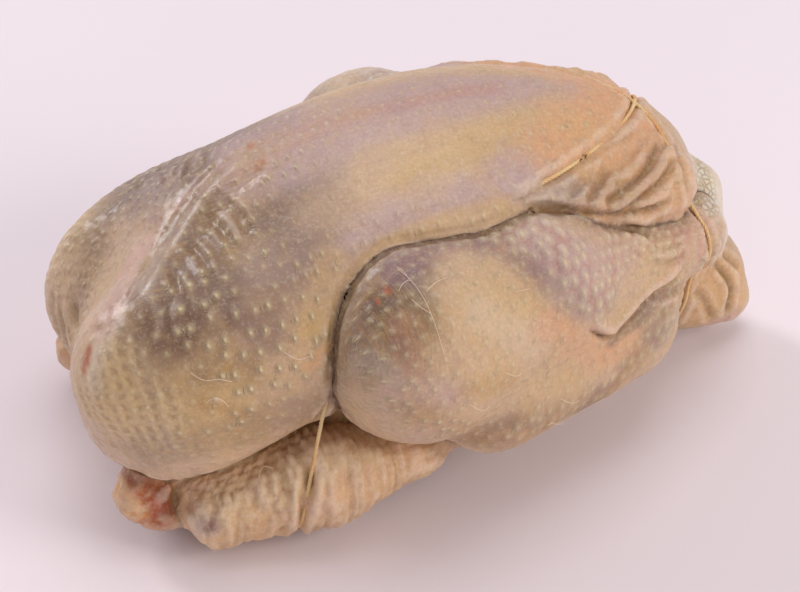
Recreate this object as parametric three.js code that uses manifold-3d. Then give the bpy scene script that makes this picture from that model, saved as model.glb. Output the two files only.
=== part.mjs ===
// A whole raw chicken, trussed with twine and lying on its back with the breast up.
// Millimetres. +X runs from the neck end to the tail, +Y to the bird's left side and +Z up.
// The flesh is one smooth field of named masses, negative inside, which marching cubes turn
// into one closed skin. The twine is a second solid, drawn tight over the same field.
import * as THREE from "three";
import { MarchingCubes } from "three/addons/objects/MarchingCubes.js";
import { mergeVertices } from "three/addons/utils/BufferGeometryUtils.js";
import Module from "manifold-3d";

const wasm = await Module();
wasm.setup();

const RIGHT = -1;
const LEFT = 1;
const SIDES = [RIGHT, LEFT];

// How softly the masses run into each other: a small number leaves a sharp crease.
const SOFT = 16;
const FIRM = 8;
const CREASE = 3.5;

// Where two masses are pressed together, the skin is drawn this far into the seam.
const SEAM_DEPTH = 7;
const SEAM_WIDTH = 5.5;

// The grid that the field is sampled on, a cube of GRID_STEPS cells a side.
const GRID_HALF = 142;
const GRID_STEPS = 48;
const GRID_CENTRE = new THREE.Vector3(4, 0, 60);
const GRID_TRIANGLES = 60000;
const NEAREST = 0.05;
const WELD = 1e-4;

// The rounds that even the triangles out, and how far each one moves a vertex to its neighbours.
const RELAX_ROUNDS = 8;
const RELAX_PULL = 0.5;
const RELAX_SLOPE = 0.2;
const SLOPE_STEP = 0.4;

const TWINE_RADIUS = 0.8;
const TWINE_GAP = 0.35;
const TWINE_SINK = -0.6;
const TWINE_STEPS = 112;
const TWINE_SIDES = 6;
const TWINE_FLOOR = TWINE_RADIUS + 0.4;

// The twine's run down the right side of the bird. The left side has the same run, mirrored.
const UNDER_BACK = [-54, 0, 1];
const CROSSING = [88, -2, 98];
const UNDER_TAIL = [95, 0, 8];
const SIDE_RUN = [
  [-58, -54, 3],
  [-57, -66, 14],
  [-56, -68, 26],
  [-51, -63, 40],
  [-46, -58, 54],
  [-43, -57, 66],
  [-41, -56, 80],
  [-34, -52, 91],
  [-19, -46, 99],
  [-3, -41, 100],
  [14, -40, 101],
  [29, -35, 103],
  [44, -32, 106],
  [60, -24, 105],
  [74, -16, 103],
];
const HOCK_RUN = [
  [88, -14, 95],
  [86, -27, 94],
  [86, -33, 82],
  [91, -30, 68],
  [96, -28, 54],
  [98, -24, 38],
  [97, -20, 19],
];

// Rounds of drawing the twine tight, and the rise of the upper strand where it crosses the lower.
const SETTLE_ROUNDS = 6;
const TAUT_ROUNDS = 16;
const TAUT_PULL = 0.5;
const TAUT_SLOPE = 0.25;
const STRAND_RISE = 1.9;
const CROSSING_REACH = 9;

// The knot on the left side, above the wing, with its two cut ends.
const KNOT_NEAR = new THREE.Vector3(-49, 66, 52);
const KNOT_RADIUS = 1.7;
const KNOT_STRAND = 0.65;
const KNOT_STEPS = 24;
const KNOT_SIDES = 4;
const KNOT_HOLLOW = 3.6;
const END_STEP = 3.2;
const END_STEPS = 5;
const END_CLEAR = 1.8;
const END_WAYS = [
  [-0.75, 0.1, -0.65],
  [0.45, 0.1, -0.9],
];

const FLOOR_BLOCK = 400;

const SKIN_COLOUR = 0xc9a27c;
const SKIN_ROUGHNESS = 0.45;
const TWINE_COLOUR = 0xc8b078;
const TWINE_ROUGHNESS = 0.8;

const smoothMin = (a, b, k) => {
  const h = Math.max(k - Math.abs(a - b), 0) / k;
  return Math.min(a, b) - (h * h * k) / 4;
};

// A mass shaped as an ellipsoid, turned by yaw degrees about Z.
function ellipsoid(centre, radii, yaw = 0) {
  const turn = new THREE.Matrix4().makeRotationZ(THREE.MathUtils.degToRad(-yaw));
  const q = new THREE.Vector3();
  return (p) => {
    q.set(p.x - centre[0], p.y - centre[1], p.z - centre[2]).applyMatrix4(turn);
    const x = q.x / radii[0];
    const y = q.y / radii[1];
    const z = q.z / radii[2];
    const near = Math.hypot(x, y, z);
    const steep = Math.hypot(x / radii[0], y / radii[1], z / radii[2]);
    return steep === 0 ? -Math.min(...radii) : (near * (near - 1)) / steep;
  };
}

// A limb that tapers from one round end to another.
function limb(from, to, startRadius, endRadius) {
  const start = new THREE.Vector3(...from);
  const axis = new THREE.Vector3(...to).sub(start);
  const q = new THREE.Vector3();
  return (p) => {
    q.copy(p).sub(start);
    const t = THREE.MathUtils.clamp(q.dot(axis) / axis.lengthSq(), 0, 1);
    return q.addScaledVector(axis, -t).length() - THREE.MathUtils.lerp(startRadius, endRadius, t);
  };
}

// Several masses run together as one.
const blend = (k, ...masses) => (p) => masses.map((m) => m(p)).reduce((a, b) => smoothMin(a, b, k));

// Masses pressed against each other, with a seam between every two that meet.
const seam = (a, b) => SEAM_DEPTH * Math.exp(-(a * a + b * b) / (SEAM_WIDTH * SEAM_WIDTH));
const press = (...masses) => (p) => masses.map((m) => m(p)).reduce((a, b) => Math.min(a, b) + seam(a, b));

// The keel, the two lobes of the breast, the broad back, both sides behind the lobes, and the front of
// the right lobe, which is the fuller one.
function trunk() {
  return blend(
    SOFT,
    ellipsoid([5, 0, 70], [99, 48, 52]),
    ellipsoid([-51, -29, 69], [67, 34, 34], 4),
    ellipsoid([-49, 26, 47], [65, 33, 45], -4),
    ellipsoid([0, 0, 40], [110, 42, 44]),
    ellipsoid([8, -26, 74], [62, 30, 33]),
    ellipsoid([8, 15, 70], [62, 30, 33]),
    ellipsoid([-83, -26, 48], [32, 32, 33]),
  );
}

// The neck skin, tucked under the front of the breast.
function neckSkin() {
  return ellipsoid([-80, 0, 24], [29, 49, 25]);
}

// The belly on both sides of the vent.
function belly() {
  return blend(FIRM, ...SIDES.map((s) => ellipsoid([59, s * 20, 75], [26, 18, 18])));
}

function tail() {
  return blend(
    FIRM,
    limb([85, 0, 40], [108, -3, 24], 30, 18),
    limb([107, -5, 21], [120, -9, 13], 17, 8),
  );
}

// A leg folded up beside the breast: the drumstick lies over the thigh, and shin is its height midway.
function leg(s, knee, kneeRadius, shin) {
  const drumstick = blend(
    FIRM,
    limb(knee, [26, s * 43, shin], kneeRadius, 27),
    limb([26, s * 43, shin], [94, s * 21, 60], 27, 14),
  );
  const thigh = limb([12, s * 45, 45], [60, s * 33, 44], 29, 25);
  return blend(FIRM, drumstick, thigh);
}

// A wing joint, wide at the elbow and narrowing to where it slips under the leg.
function wing(s) {
  return blend(
    FIRM,
    limb([-80, s * 46, 18], [-44, s * 51, 24], 17, 17),
    limb([-44, s * 51, 24], [12, s * 50, 26], 17, 7),
  );
}

// The cut end of the upper wing bone, between the neck skin and the elbow.
function shoulder(s) {
  return blend(
    CREASE,
    limb([-99, s * 36, 22], [-88, s * 34, 26], 12, 14),
    limb([-101, s * 36, 18], [-94, s * 44, 13], 9, 9),
  );
}

// The slack skin of the flank, folded between the belly and the drumstick. It starts out at this height.
function flank(s, start, height, fullness) {
  return limb([start, s * 36, height], [80, s * 24, 85], 11, fullness);
}

// The two hocks, drawn together over the tail: the left one lies on the right one.
function hocks() {
  return blend(
    CREASE,
    limb([97, -16, 54], [107, -10, 46], 11, 9),
    limb([95, 11, 72], [103, -3, 60], 8, 12),
    limb([103, -3, 60], [104, -9, 50], 12, 11),
    limb([92, 20, 58], [96, 12, 67], 12, 8),
  );
}

function bird() {
  const pressed = press(
    blend(FIRM, trunk(), neckSkin(), tail(), belly()),
    leg(RIGHT, [-13, -51, 70], 34, 74),
    leg(LEFT, [6, 46, 67], 30, 62),
    wing(RIGHT),
    wing(LEFT),
    shoulder(RIGHT),
    shoulder(LEFT),
  );
  return blend(CREASE, pressed, flank(RIGHT, 42, 91, 13), flank(LEFT, 52, 85, 10), hocks());
}

const flesh = bird();

// Which way the field rises at p, written into out.
function slope(p, out) {
  const q = new THREE.Vector3();
  for (const k of ["x", "y", "z"]) {
    q.copy(p);
    q[k] += SLOPE_STEP;
    const ahead = flesh(q);
    q[k] -= 2 * SLOPE_STEP;
    out[k] = (ahead - flesh(q)) / (2 * SLOPE_STEP);
  }
  return out;
}

// Moves p along the slope to where the field is depth, which is negative under the skin.
const uphill = new THREE.Vector3();
function settle(p, depth, leastSlope) {
  slope(p, uphill);
  p.addScaledVector(uphill, (depth - flesh(p)) / Math.max(uphill.lengthSq(), leastSlope));
}

// Marching cubes over the field, from their unit cube into millimetres.
function march() {
  const cubes = new MarchingCubes(GRID_STEPS, undefined, false, false, GRID_TRIANGLES);
  cubes.isolation = 0;
  const half = GRID_STEPS / 2;
  const p = new THREE.Vector3();
  const edge = (i) => i === 0 || i === GRID_STEPS - 1;
  for (let k = 0; k < GRID_STEPS; k++)
    for (let j = 0; j < GRID_STEPS; j++)
      for (let i = 0; i < GRID_STEPS; i++) {
        p.set(i - half, j - half, k - half).multiplyScalar(GRID_HALF / half).add(GRID_CENTRE);
        const d = edge(i) || edge(j) || edge(k) ? GRID_HALF : flesh(p);
        const clear = Math.abs(d) < NEAREST ? NEAREST * (d < 0 ? -1 : 1) : d;
        cubes.field[i + j * GRID_STEPS + k * GRID_STEPS * GRID_STEPS] = -clear;
      }
  cubes.update();
  const raw = new THREE.BufferGeometry().setAttribute(
    "position",
    new THREE.BufferAttribute(cubes.positionArray.slice(0, cubes.count * 3), 3),
  );
  raw.scale(GRID_HALF, GRID_HALF, GRID_HALF);
  raw.translate(GRID_CENTRE.x, GRID_CENTRE.y, GRID_CENTRE.z);
  return mergeVertices(raw, WELD);
}

function neighbours(geometry) {
  const index = geometry.index.array;
  const around = Array.from({ length: geometry.attributes.position.count }, () => new Set());
  for (let t = 0; t < index.length; t += 3)
    for (let c = 0; c < 3; c++) {
      const here = index[t + c];
      const next = index[t + ((c + 1) % 3)];
      around[here].add(next);
      around[next].add(here);
    }
  return around;
}

// Evens out the triangles: each vertex moves to the middle of its neighbours and back onto the skin.
function relax(geometry) {
  const at = geometry.attributes.position;
  const around = neighbours(geometry);
  const v = new THREE.Vector3();
  const n = new THREE.Vector3();
  const middle = new THREE.Vector3();
  for (let round = 0; round < RELAX_ROUNDS; round++) {
    const moved = new Float32Array(at.array.length);
    for (let i = 0; i < at.count; i++) {
      middle.set(0, 0, 0);
      for (const j of around[i]) middle.add(n.fromBufferAttribute(at, j));
      v.fromBufferAttribute(at, i).lerp(middle.divideScalar(around[i].size), RELAX_PULL);
      settle(v, 0, RELAX_SLOPE);
      v.toArray(moved, i * 3);
    }
    at.array.set(moved);
  }
  return geometry;
}

function solidOf(geometry) {
  const bare = new THREE.BufferGeometry().setAttribute("position", geometry.attributes.position);
  if (geometry.index) bare.setIndex(geometry.index);
  const merged = mergeVertices(bare, WELD);
  return new wasm.Manifold(
    new wasm.Mesh({
      numProp: 3,
      vertProperties: new Float32Array(merged.attributes.position.array),
      triVerts: new Uint32Array(merged.index.array),
    }),
  );
}

function geometryOf(solid) {
  const made = solid.getMesh();
  const points = new Float32Array(made.numVert * 3);
  for (let i = 0; i < made.numVert; i++)
    points.set(made.vertProperties.subarray(i * made.numProp, i * made.numProp + 3), i * 3);
  const geometry = new THREE.BufferGeometry();
  geometry.setAttribute("position", new THREE.BufferAttribute(points, 3));
  geometry.setIndex(new THREE.BufferAttribute(made.triVerts, 1));
  geometry.computeVertexNormals();
  return geometry;
}

// The twine's loop: under the back, up one side, over the hocks, under the tail and back the other way.
function looseRoute() {
  const across = (points) => points.map(([x, y, z]) => [x, -y, z]);
  const points = [
    UNDER_BACK,
    ...SIDE_RUN,
    CROSSING,
    ...across(HOCK_RUN),
    UNDER_TAIL,
    ...[...HOCK_RUN].reverse(),
    CROSSING,
    ...across(SIDE_RUN).reverse(),
  ].map((p) => new THREE.Vector3(...p));
  return new THREE.CatmullRomCurve3(points, true, "centripetal").getSpacedPoints(TWINE_STEPS).slice(1);
}

// Draws the loop tight: it spans the hollows and nowhere lies deeper in the flesh than its sink.
function tautRoute() {
  const route = looseRoute();
  const crossing = new THREE.Vector3(...CROSSING);
  const isUpper = (p, i) => i > route.length / 2 && p.distanceTo(crossing) < CROSSING_REACH;
  const sink = route.map((p, i) => TWINE_SINK + (isUpper(p, i) ? STRAND_RISE : 0));
  for (let round = 0; round < SETTLE_ROUNDS; round++)
    route.forEach((p, i) => settle(p, sink[i], TAUT_SLOPE));
  const middle = new THREE.Vector3();
  for (let round = 0; round < TAUT_ROUNDS; round++)
    route.forEach((p, i) => {
      middle.addVectors(route.at(i - 1), route[(i + 1) % route.length]).multiplyScalar(0.5);
      p.lerp(middle, TAUT_PULL);
      if (flesh(p) < sink[i]) settle(p, sink[i], TAUT_SLOPE);
      p.z = Math.max(p.z, TWINE_FLOOR);
    });
  return route;
}

function loop(route, radius) {
  const path = new THREE.CatmullRomCurve3(route, true, "centripetal");
  return solidOf(new THREE.TubeGeometry(path, TWINE_STEPS, radius, TWINE_SIDES, true));
}

// One cut end of the twine, hanging from the knot just clear of the skin.
function twineEnd(knot, way) {
  const points = [knot.clone()];
  const step = new THREE.Vector3(...way).setLength(END_STEP);
  for (let i = 0; i < END_STEPS; i++) {
    const p = points.at(-1).clone().add(step);
    if (flesh(p) < END_CLEAR) settle(p, END_CLEAR, TAUT_SLOPE);
    points.push(p);
  }
  const section = new THREE.Shape(
    Array.from({ length: TWINE_SIDES }, (_, i) => {
      const turn = (2 * Math.PI * i) / TWINE_SIDES;
      return new THREE.Vector2(Math.cos(turn), Math.sin(turn)).multiplyScalar(TWINE_RADIUS);
    }),
  );
  const extrudePath = new THREE.CatmullRomCurve3(points);
  return solidOf(new THREE.ExtrudeGeometry(section, { steps: END_STEPS, extrudePath }));
}

function knotSolid(knot) {
  const wrap = new THREE.TorusKnotGeometry(KNOT_RADIUS, KNOT_STRAND, KNOT_STEPS, KNOT_SIDES);
  wrap.rotateX(Math.PI / 2).translate(knot.x, knot.y, knot.z);
  return END_WAYS.map((way) => twineEnd(knot, way)).reduce((a, b) => a.add(b), solidOf(wrap));
}

const route = tautRoute();
const nearKnot = (a, b) => (a.distanceTo(KNOT_NEAR) < b.distanceTo(KNOT_NEAR) ? a : b);
const knot = route.reduce(nearKnot);
const twine = loop(route, TWINE_RADIUS).add(knotSolid(knot));

const floorBlock = new THREE.BoxGeometry(FLOOR_BLOCK, FLOOR_BLOCK, FLOOR_BLOCK);
floorBlock.translate(0, 0, -FLOOR_BLOCK / 2);
const knotHollow = new THREE.IcosahedronGeometry(KNOT_HOLLOW, 1).translate(knot.x, knot.y, knot.z);
const skin = solidOf(relax(march()))
  .subtract(solidOf(floorBlock))
  .subtract(loop(route, TWINE_RADIUS + TWINE_GAP))
  .subtract(solidOf(knotHollow));

function part(name, solid, color, roughness) {
  const material = new THREE.MeshStandardMaterial({ color, roughness, metalness: 0 });
  const mesh = new THREE.Mesh(geometryOf(solid), material);
  mesh.name = name;
  return mesh;
}

const group = new THREE.Group();
group.add(part("bird", skin, SKIN_COLOUR, SKIN_ROUGHNESS));
group.add(part("twine", twine, TWINE_COLOUR, TWINE_ROUGHNESS));

export default group;
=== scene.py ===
"""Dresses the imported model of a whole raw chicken, trussed with twine and lying on its back.

The flesh is the same field of named masses as in the model's source, in millimetres, with +X from
the neck end to the tail, +Y to the bird's left side and +Z up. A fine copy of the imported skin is
drawn onto that field, sculpted with folds, wrinkles and feather follicles, and coloured by patches
that the photograph's camera throws onto it.
"""

import logging
import math
from dataclasses import dataclass, field
from enum import Enum
from itertools import combinations
from typing import Sequence

import bmesh
import bpy
import numpy as np
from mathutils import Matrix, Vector
from mathutils.bvhtree import BVHTree

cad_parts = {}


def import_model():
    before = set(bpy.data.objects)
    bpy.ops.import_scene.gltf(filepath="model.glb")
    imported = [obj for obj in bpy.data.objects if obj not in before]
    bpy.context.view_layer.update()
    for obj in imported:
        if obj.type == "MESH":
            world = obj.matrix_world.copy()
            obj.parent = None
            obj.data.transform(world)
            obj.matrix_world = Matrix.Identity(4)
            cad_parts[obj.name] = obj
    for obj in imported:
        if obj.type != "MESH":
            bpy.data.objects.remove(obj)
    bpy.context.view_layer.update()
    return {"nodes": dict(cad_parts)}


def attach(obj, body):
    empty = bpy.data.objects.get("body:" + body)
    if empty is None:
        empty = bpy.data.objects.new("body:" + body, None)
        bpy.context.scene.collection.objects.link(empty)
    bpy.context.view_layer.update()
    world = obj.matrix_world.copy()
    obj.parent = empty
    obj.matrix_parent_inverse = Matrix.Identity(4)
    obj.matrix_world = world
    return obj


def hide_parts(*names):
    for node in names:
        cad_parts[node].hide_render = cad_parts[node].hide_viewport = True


LOG = logging.getLogger("chicken")
MM = 0.001
TINY = 1e-9
# Where the twine is shut in beside the leg, and where it is laid on the finished skin
SHUT_ABOVE = (62, 71)
SHUT_AHEAD = (34, 22)
LAID_BEHIND = (36, 24)
TWINE_REST = -0.4

Points = np.ndarray
Pixel = tuple[float, float]


class Side(Enum):
    """The bird's own sides, as the sign of Y."""

    RIGHT = -1
    LEFT = 1


class Region(Enum):
    """What part of the bird a point of the skin belongs to."""

    TRUNK = 0
    LEG = 1
    WING = 2
    SHOULDER = 3
    FLANK = 4
    HOCK = 5


def placed(name: str, data: bpy.types.ID) -> bpy.types.Object:
    """A new object of that data, in the scene."""
    made = bpy.data.objects.new(name, data)
    bpy.context.scene.collection.objects.link(made)
    return made


def vertex_values(mesh: bpy.types.Mesh, name: str = "co") -> np.ndarray:
    """A mesh's vertex places, or its normals, as three columns."""
    values = np.empty(len(mesh.vertices) * 3, np.float32)
    mesh.vertices.foreach_get(name, values)
    return values.reshape(-1, 3).astype(float)


# The field of masses


@dataclass(frozen=True)
class Ellipsoid:
    """A mass shaped as an ellipsoid, turned by yaw degrees about Z."""

    centre: tuple[float, float, float]
    radii: tuple[float, float, float]
    yaw: float = 0.0

    def __call__(self, p: Points) -> np.ndarray:
        """Signed distance of each point, negative inside."""
        q = p - np.array(self.centre)
        c, s = math.cos(math.radians(-self.yaw)), math.sin(math.radians(-self.yaw))
        turned = np.stack([c * q[:, 0] - s * q[:, 1], s * q[:, 0] + c * q[:, 1], q[:, 2]], 1)
        r = turned / np.array(self.radii)
        near = np.linalg.norm(r, axis=1)
        steep = np.linalg.norm(r / np.array(self.radii), axis=1)
        return near * (near - 1) / np.maximum(steep, TINY)


@dataclass(frozen=True)
class Limb:
    """A limb that tapers from one round end to another."""

    start: tuple[float, float, float]
    end: tuple[float, float, float]
    start_radius: float
    end_radius: float

    def __call__(self, p: Points) -> np.ndarray:
        """Signed distance of each point, negative inside."""
        axis = np.array(self.end, float) - np.array(self.start, float)
        q = p - np.array(self.start, float)
        t = np.clip(q @ axis / (axis @ axis), 0, 1)
        gap = np.linalg.norm(q - t[:, None] * axis, axis=1)
        return gap - (self.start_radius + (self.end_radius - self.start_radius) * t)


def smooth_min(a: np.ndarray, b: np.ndarray, k: float) -> np.ndarray:
    """The lower of two fields, rounded over k millimetres."""
    h = np.maximum(k - np.abs(a - b), 0) / k
    return np.minimum(a, b) - h * h * k / 4


def blend(k: float, *fields: np.ndarray) -> np.ndarray:
    """Several fields run together as one."""
    out = fields[0]
    for f in fields[1:]:
        out = smooth_min(out, f, k)
    return out


@dataclass(frozen=True)
class Seam:
    """How far the skin is drawn in where two masses meet, with a tight pinch at the bottom."""

    depth: float
    width: float
    pinch_depth: float = 0.0
    pinch_width: float = 1.0

    def __call__(self, a: np.ndarray, b: np.ndarray) -> np.ndarray:
        """The seam's height between two fields."""
        squared = a * a + b * b
        pinch = self.pinch_depth * np.exp(-squared / self.pinch_width**2)
        return self.depth * np.exp(-squared / self.width**2) + pinch


FINE_LEG_SEAM = Seam(0, 1, 2.2, 1.5)
FINE_WING_SEAM = Seam(6, 4.5, 2.5, 1.8)


@dataclass(frozen=True)
class Flesh:
    """The bird as one field of masses, the same as in the model's source.

    The finished skin has narrower seams than the model, each with a tight pinch at the bottom.
    """

    soft: float = 16
    firm: float = 8
    crease: float = 3.5
    leg_seam: Seam = Seam(7, 5.5)
    wing_seam: Seam = Seam(7, 5.5)
    slope_step: float = 0.4

    def trunk(self, p: Points) -> np.ndarray:
        """Keel, breast lobes, back, neck skin, tail and belly."""
        body = blend(
            self.soft,
            Ellipsoid((5, 0, 70), (99, 48, 52))(p),
            Ellipsoid((-51, -29, 69), (67, 34, 34), 4)(p),
            Ellipsoid((-49, 26, 47), (65, 33, 45), -4)(p),
            Ellipsoid((0, 0, 40), (110, 42, 44))(p),
            Ellipsoid((8, -26, 74), (62, 30, 33))(p),
            Ellipsoid((8, 15, 70), (62, 30, 33))(p),
            Ellipsoid((-83, -26, 48), (32, 32, 33))(p),
        )
        neck_skin = Ellipsoid((-80, 0, 24), (29, 49, 25))(p)
        tail = blend(
            self.firm,
            Limb((85, 0, 40), (108, -3, 24), 30, 18)(p),
            Limb((107, -5, 21), (120, -9, 13), 17, 8)(p),
        )
        belly = blend(self.firm, *(Ellipsoid((59, s.value * 20, 75), (26, 18, 18))(p) for s in Side))
        return blend(self.firm, body, neck_skin, tail, belly)

    def leg(self, p: Points, side: Side) -> np.ndarray:
        """A leg folded up beside the breast."""
        s = side.value
        knee, knee_radius, shin = ((-13, -51, 70), 34, 74) if side is Side.RIGHT else ((6, 46, 67), 30, 62)
        drumstick = blend(
            self.firm,
            Limb(knee, (26, s * 43, shin), knee_radius, 27)(p),
            Limb((26, s * 43, shin), (94, s * 21, 60), 27, 14)(p),
        )
        return blend(self.firm, drumstick, Limb((12, s * 45, 45), (60, s * 33, 44), 29, 25)(p))

    def wing(self, p: Points, side: Side) -> np.ndarray:
        """A wing joint, narrowing to where it slips under the leg."""
        s = side.value
        return blend(
            self.firm,
            Limb((-80, s * 46, 18), (-44, s * 51, 24), 17, 17)(p),
            Limb((-44, s * 51, 24), (12, s * 50, 26), 17, 7)(p),
        )

    def shoulder(self, p: Points, side: Side) -> np.ndarray:
        """The cut end of the upper wing bone."""
        s = side.value
        return blend(
            self.crease,
            Limb((-99, s * 36, 22), (-88, s * 34, 26), 12, 14)(p),
            Limb((-101, s * 36, 18), (-94, s * 44, 13), 9, 9)(p),
        )

    def flank(self, p: Points, side: Side) -> np.ndarray:
        """The slack skin between the belly and the drumstick."""
        s = side.value
        start, height, fullness = (42, 91, 13) if side is Side.RIGHT else (52, 85, 10)
        return Limb((start, s * 36, height), (80, s * 24, 85), 11, fullness)(p)

    def hocks(self, p: Points) -> np.ndarray:
        """The two hocks, drawn together over the tail."""
        return blend(
            self.crease,
            Limb((97, -16, 54), (107, -10, 46), 11, 9)(p),
            Limb((95, 11, 72), (103, -3, 60), 8, 12)(p),
            Limb((103, -3, 60), (104, -9, 50), 12, 11)(p),
            Limb((92, 20, 58), (96, 12, 67), 12, 8)(p),
        )

    def __call__(self, p: Points) -> np.ndarray:
        """The whole bird's field, negative inside."""
        right, left = Side.RIGHT, Side.LEFT
        joined = self.trunk(p)
        for other, seam in (
            (self.leg(p, right), self.leg_seam),
            (self.leg(p, left), self.leg_seam),
            (self.wing(p, right), self.wing_seam),
            (self.wing(p, left), self.wing_seam),
            (self.shoulder(p, right), self.wing_seam),
            (self.shoulder(p, left), self.wing_seam),
        ):
            joined = np.minimum(joined, other) + seam(joined, other)
        return blend(self.crease, joined, self.flank(p, right), self.flank(p, left), self.hocks(p))

    def slope(self, p: Points) -> np.ndarray:
        """The field's gradient at each point."""
        out = np.empty_like(p)
        for axis in range(3):
            step = np.zeros(3)
            step[axis] = self.slope_step
            out[:, axis] = (self(p + step) - self(p - step)) / (2 * self.slope_step)
        return out

    def settle(self, p: Points, depth: np.ndarray | float, least_slope: float) -> Points:
        """Moves points along the slope to where the field is depth.

        Args:
            p: the points.
            depth: the wanted value of the field, negative under the skin.
            least_slope: the smallest squared slope that a step divides by.

        Returns:
            The moved points.
        """
        g = self.slope(p)
        steep = np.maximum((g * g).sum(1), least_slope)
        return p + g * ((depth - self(p)) / steep)[:, None]

    def regions(self, p: Points) -> np.ndarray:
        """Which Region each point lies nearest to, as its number."""
        fields = [
            self.trunk(p),
            np.minimum(*(self.leg(p, s) for s in Side)),
            np.minimum(*(self.wing(p, s) for s in Side)),
            np.minimum(*(self.shoulder(p, s) for s in Side)),
            np.minimum(*(self.flank(p, s) for s in Side)),
            self.hocks(p),
        ]
        return np.argmin(np.stack(fields), axis=0)


# Noise and rows of follicles


def scramble(*cells: np.ndarray, seed: int) -> np.ndarray:
    """A random number from 0 to 1 for each whole-number cell."""
    h = np.full(cells[0].shape, seed * 0x9E3779B1 & 0xFFFFFFFF, np.uint64)
    for c in cells:
        h = (h ^ (c.astype(np.int64).astype(np.uint64) & np.uint64(0xFFFFFFFF))) * np.uint64(0x85EBCA6B)
        h = (h & np.uint64(0xFFFFFFFF)) ^ ((h & np.uint64(0xFFFFFFFF)) >> np.uint64(15))
        h = (h * np.uint64(0xC2B2AE35)) & np.uint64(0xFFFFFFFF)
        h = h ^ (h >> np.uint64(13))
    return h.astype(float) / 0xFFFFFFFF


def noise(p: Points, size: float, seed: int) -> np.ndarray:
    """Smooth noise from -1 to 1.

    Args:
        p: points, of two or three columns.
        size: the length of one wave cell, in the points' unit.
        seed: which noise.

    Returns:
        One value a point.
    """
    q = p / size
    cell = np.floor(q)
    f = q - cell
    f = f * f * (3 - 2 * f)
    total = np.zeros(len(p))
    for corner in np.ndindex(*(2,) * p.shape[1]):
        weight = np.prod([f[:, i] if c else 1 - f[:, i] for i, c in enumerate(corner)], axis=0)
        total += weight * scramble(*(cell[:, i] + c for i, c in enumerate(corner)), seed=seed)
    return total * 2 - 1


def layered(p: Points, size: float, seed: int, layers: int = 3) -> np.ndarray:
    """Several layers of noise, each half the size and height of the one before."""
    parts = [noise(p, size / 2**i, seed + i) / 2**i for i in range(layers)]
    return sum(parts) / sum(1 / 2**i for i in range(layers))


@dataclass(frozen=True)
class Waves:
    """Layered noise, with its widest wave's size, which draw it is, its layers and its height."""

    size: float
    seed: int
    layers: int = 3
    height: float = 1.0

    def __call__(self, p: Points) -> np.ndarray:
        """The noise at each point."""
        return self.height * layered(p, self.size, self.seed, self.layers)


def rows(tract: Points, spacing: Sequence[float], jitter: float, seed: int) -> tuple[Points, np.ndarray]:
    """The way from the nearest follicle, where follicles stand in staggered rows.

    Args:
        tract: two columns, along and across the skin, in millimetres.
        spacing: between follicles in a row, and between rows.
        jitter: how far a follicle strays, as a share of the spacing.
        seed: which draw.

    Returns:
        The offset from the nearest follicle, and a random number of that follicle.
    """
    row = np.round(tract[:, 1] / spacing[1])
    best = np.full(len(tract), np.inf)
    offset = np.zeros_like(tract)
    chance = np.zeros(len(tract))
    for dr in (-1, 0, 1):
        r = row + dr
        shift = np.where(np.mod(r, 2) == 0, 0.0, 0.5)
        column = np.round(tract[:, 0] / spacing[0] - shift)
        for dc in (-1, 0, 1):
            c = column + dc
            at = np.stack(
                [
                    (c + shift + jitter * (scramble(c, r, seed=seed) - 0.5)) * spacing[0],
                    (r + jitter * (scramble(c, r, seed=seed + 1) - 0.5)) * spacing[1],
                ],
                1,
            )
            way = tract - at
            far = np.linalg.norm(way, axis=1)
            closer = far < best
            best = np.where(closer, far, best)
            offset[closer] = way[closer]
            chance[closer] = scramble(c, r, seed=seed + 2)[closer]
    return offset, chance


def fade(x: np.ndarray, low: float, high: float) -> np.ndarray:
    """A smooth step from 0 at low to 1 at high."""
    t = np.clip((x - low) / (high - low), 0, 1)
    return t * t * (3 - 2 * t)


def bell(x: np.ndarray, centre: float, width: float) -> np.ndarray:
    """A rounded peak of 1 at the centre, falling off over the width."""
    return np.exp(-(((x - centre) / width) ** 2))


# The photograph's view


@dataclass(frozen=True)
class PhotoView:
    """The photograph's camera, fitted to the bird's outline. Pixels are of an 800 by 592 image."""

    width: int = 800
    height: int = 592
    azimuth: float = -20
    elevation: float = 40
    distance: float = 820
    focal: float = 2443.6
    centre: Pixel = (400, 277.2)
    target: tuple[float, float, float] = (0, 0, 50)
    sensor: float = 36

    def axes(self) -> tuple[np.ndarray, np.ndarray, np.ndarray]:
        """The directions to the camera, to the image's right and to its top."""
        a, e = math.radians(self.azimuth), math.radians(self.elevation)
        back = np.array([math.sin(a) * math.cos(e), -math.cos(a) * math.cos(e), math.sin(e)])
        right = np.array([math.cos(a), math.sin(a), 0])
        return back, right, np.cross(back, right)

    def eye(self) -> np.ndarray:
        """The camera's place, in millimetres."""
        return np.array(self.target) + self.axes()[0] * self.distance

    def ray(self, pixel: Pixel) -> np.ndarray:
        """The unit direction from the camera through a pixel."""
        back, right, up = self.axes()
        x, y = (pixel[0] - self.centre[0]) / self.focal, (pixel[1] - self.centre[1]) / self.focal
        way = right * x - up * y - back
        return way / np.linalg.norm(way)

    def place_camera(self) -> None:
        """Makes the scene's camera."""
        data = bpy.data.cameras.new("photo_camera")
        camera = placed("photo_camera", data)
        camera.location = Vector(self.eye() * MM)
        camera.rotation_euler = Vector(-self.axes()[0]).to_track_quat("-Z", "Y").to_euler()
        data.sensor_width = self.sensor
        data.lens = self.sensor * self.focal / self.width
        data.shift_x = (self.width / 2 - self.centre[0]) / self.width
        data.shift_y = (self.centre[1] - self.height / 2) / self.width
        data.clip_end = 50
        bpy.context.scene.camera = camera


# Colours, folds and patches, placed by pixels of the photograph


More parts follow.
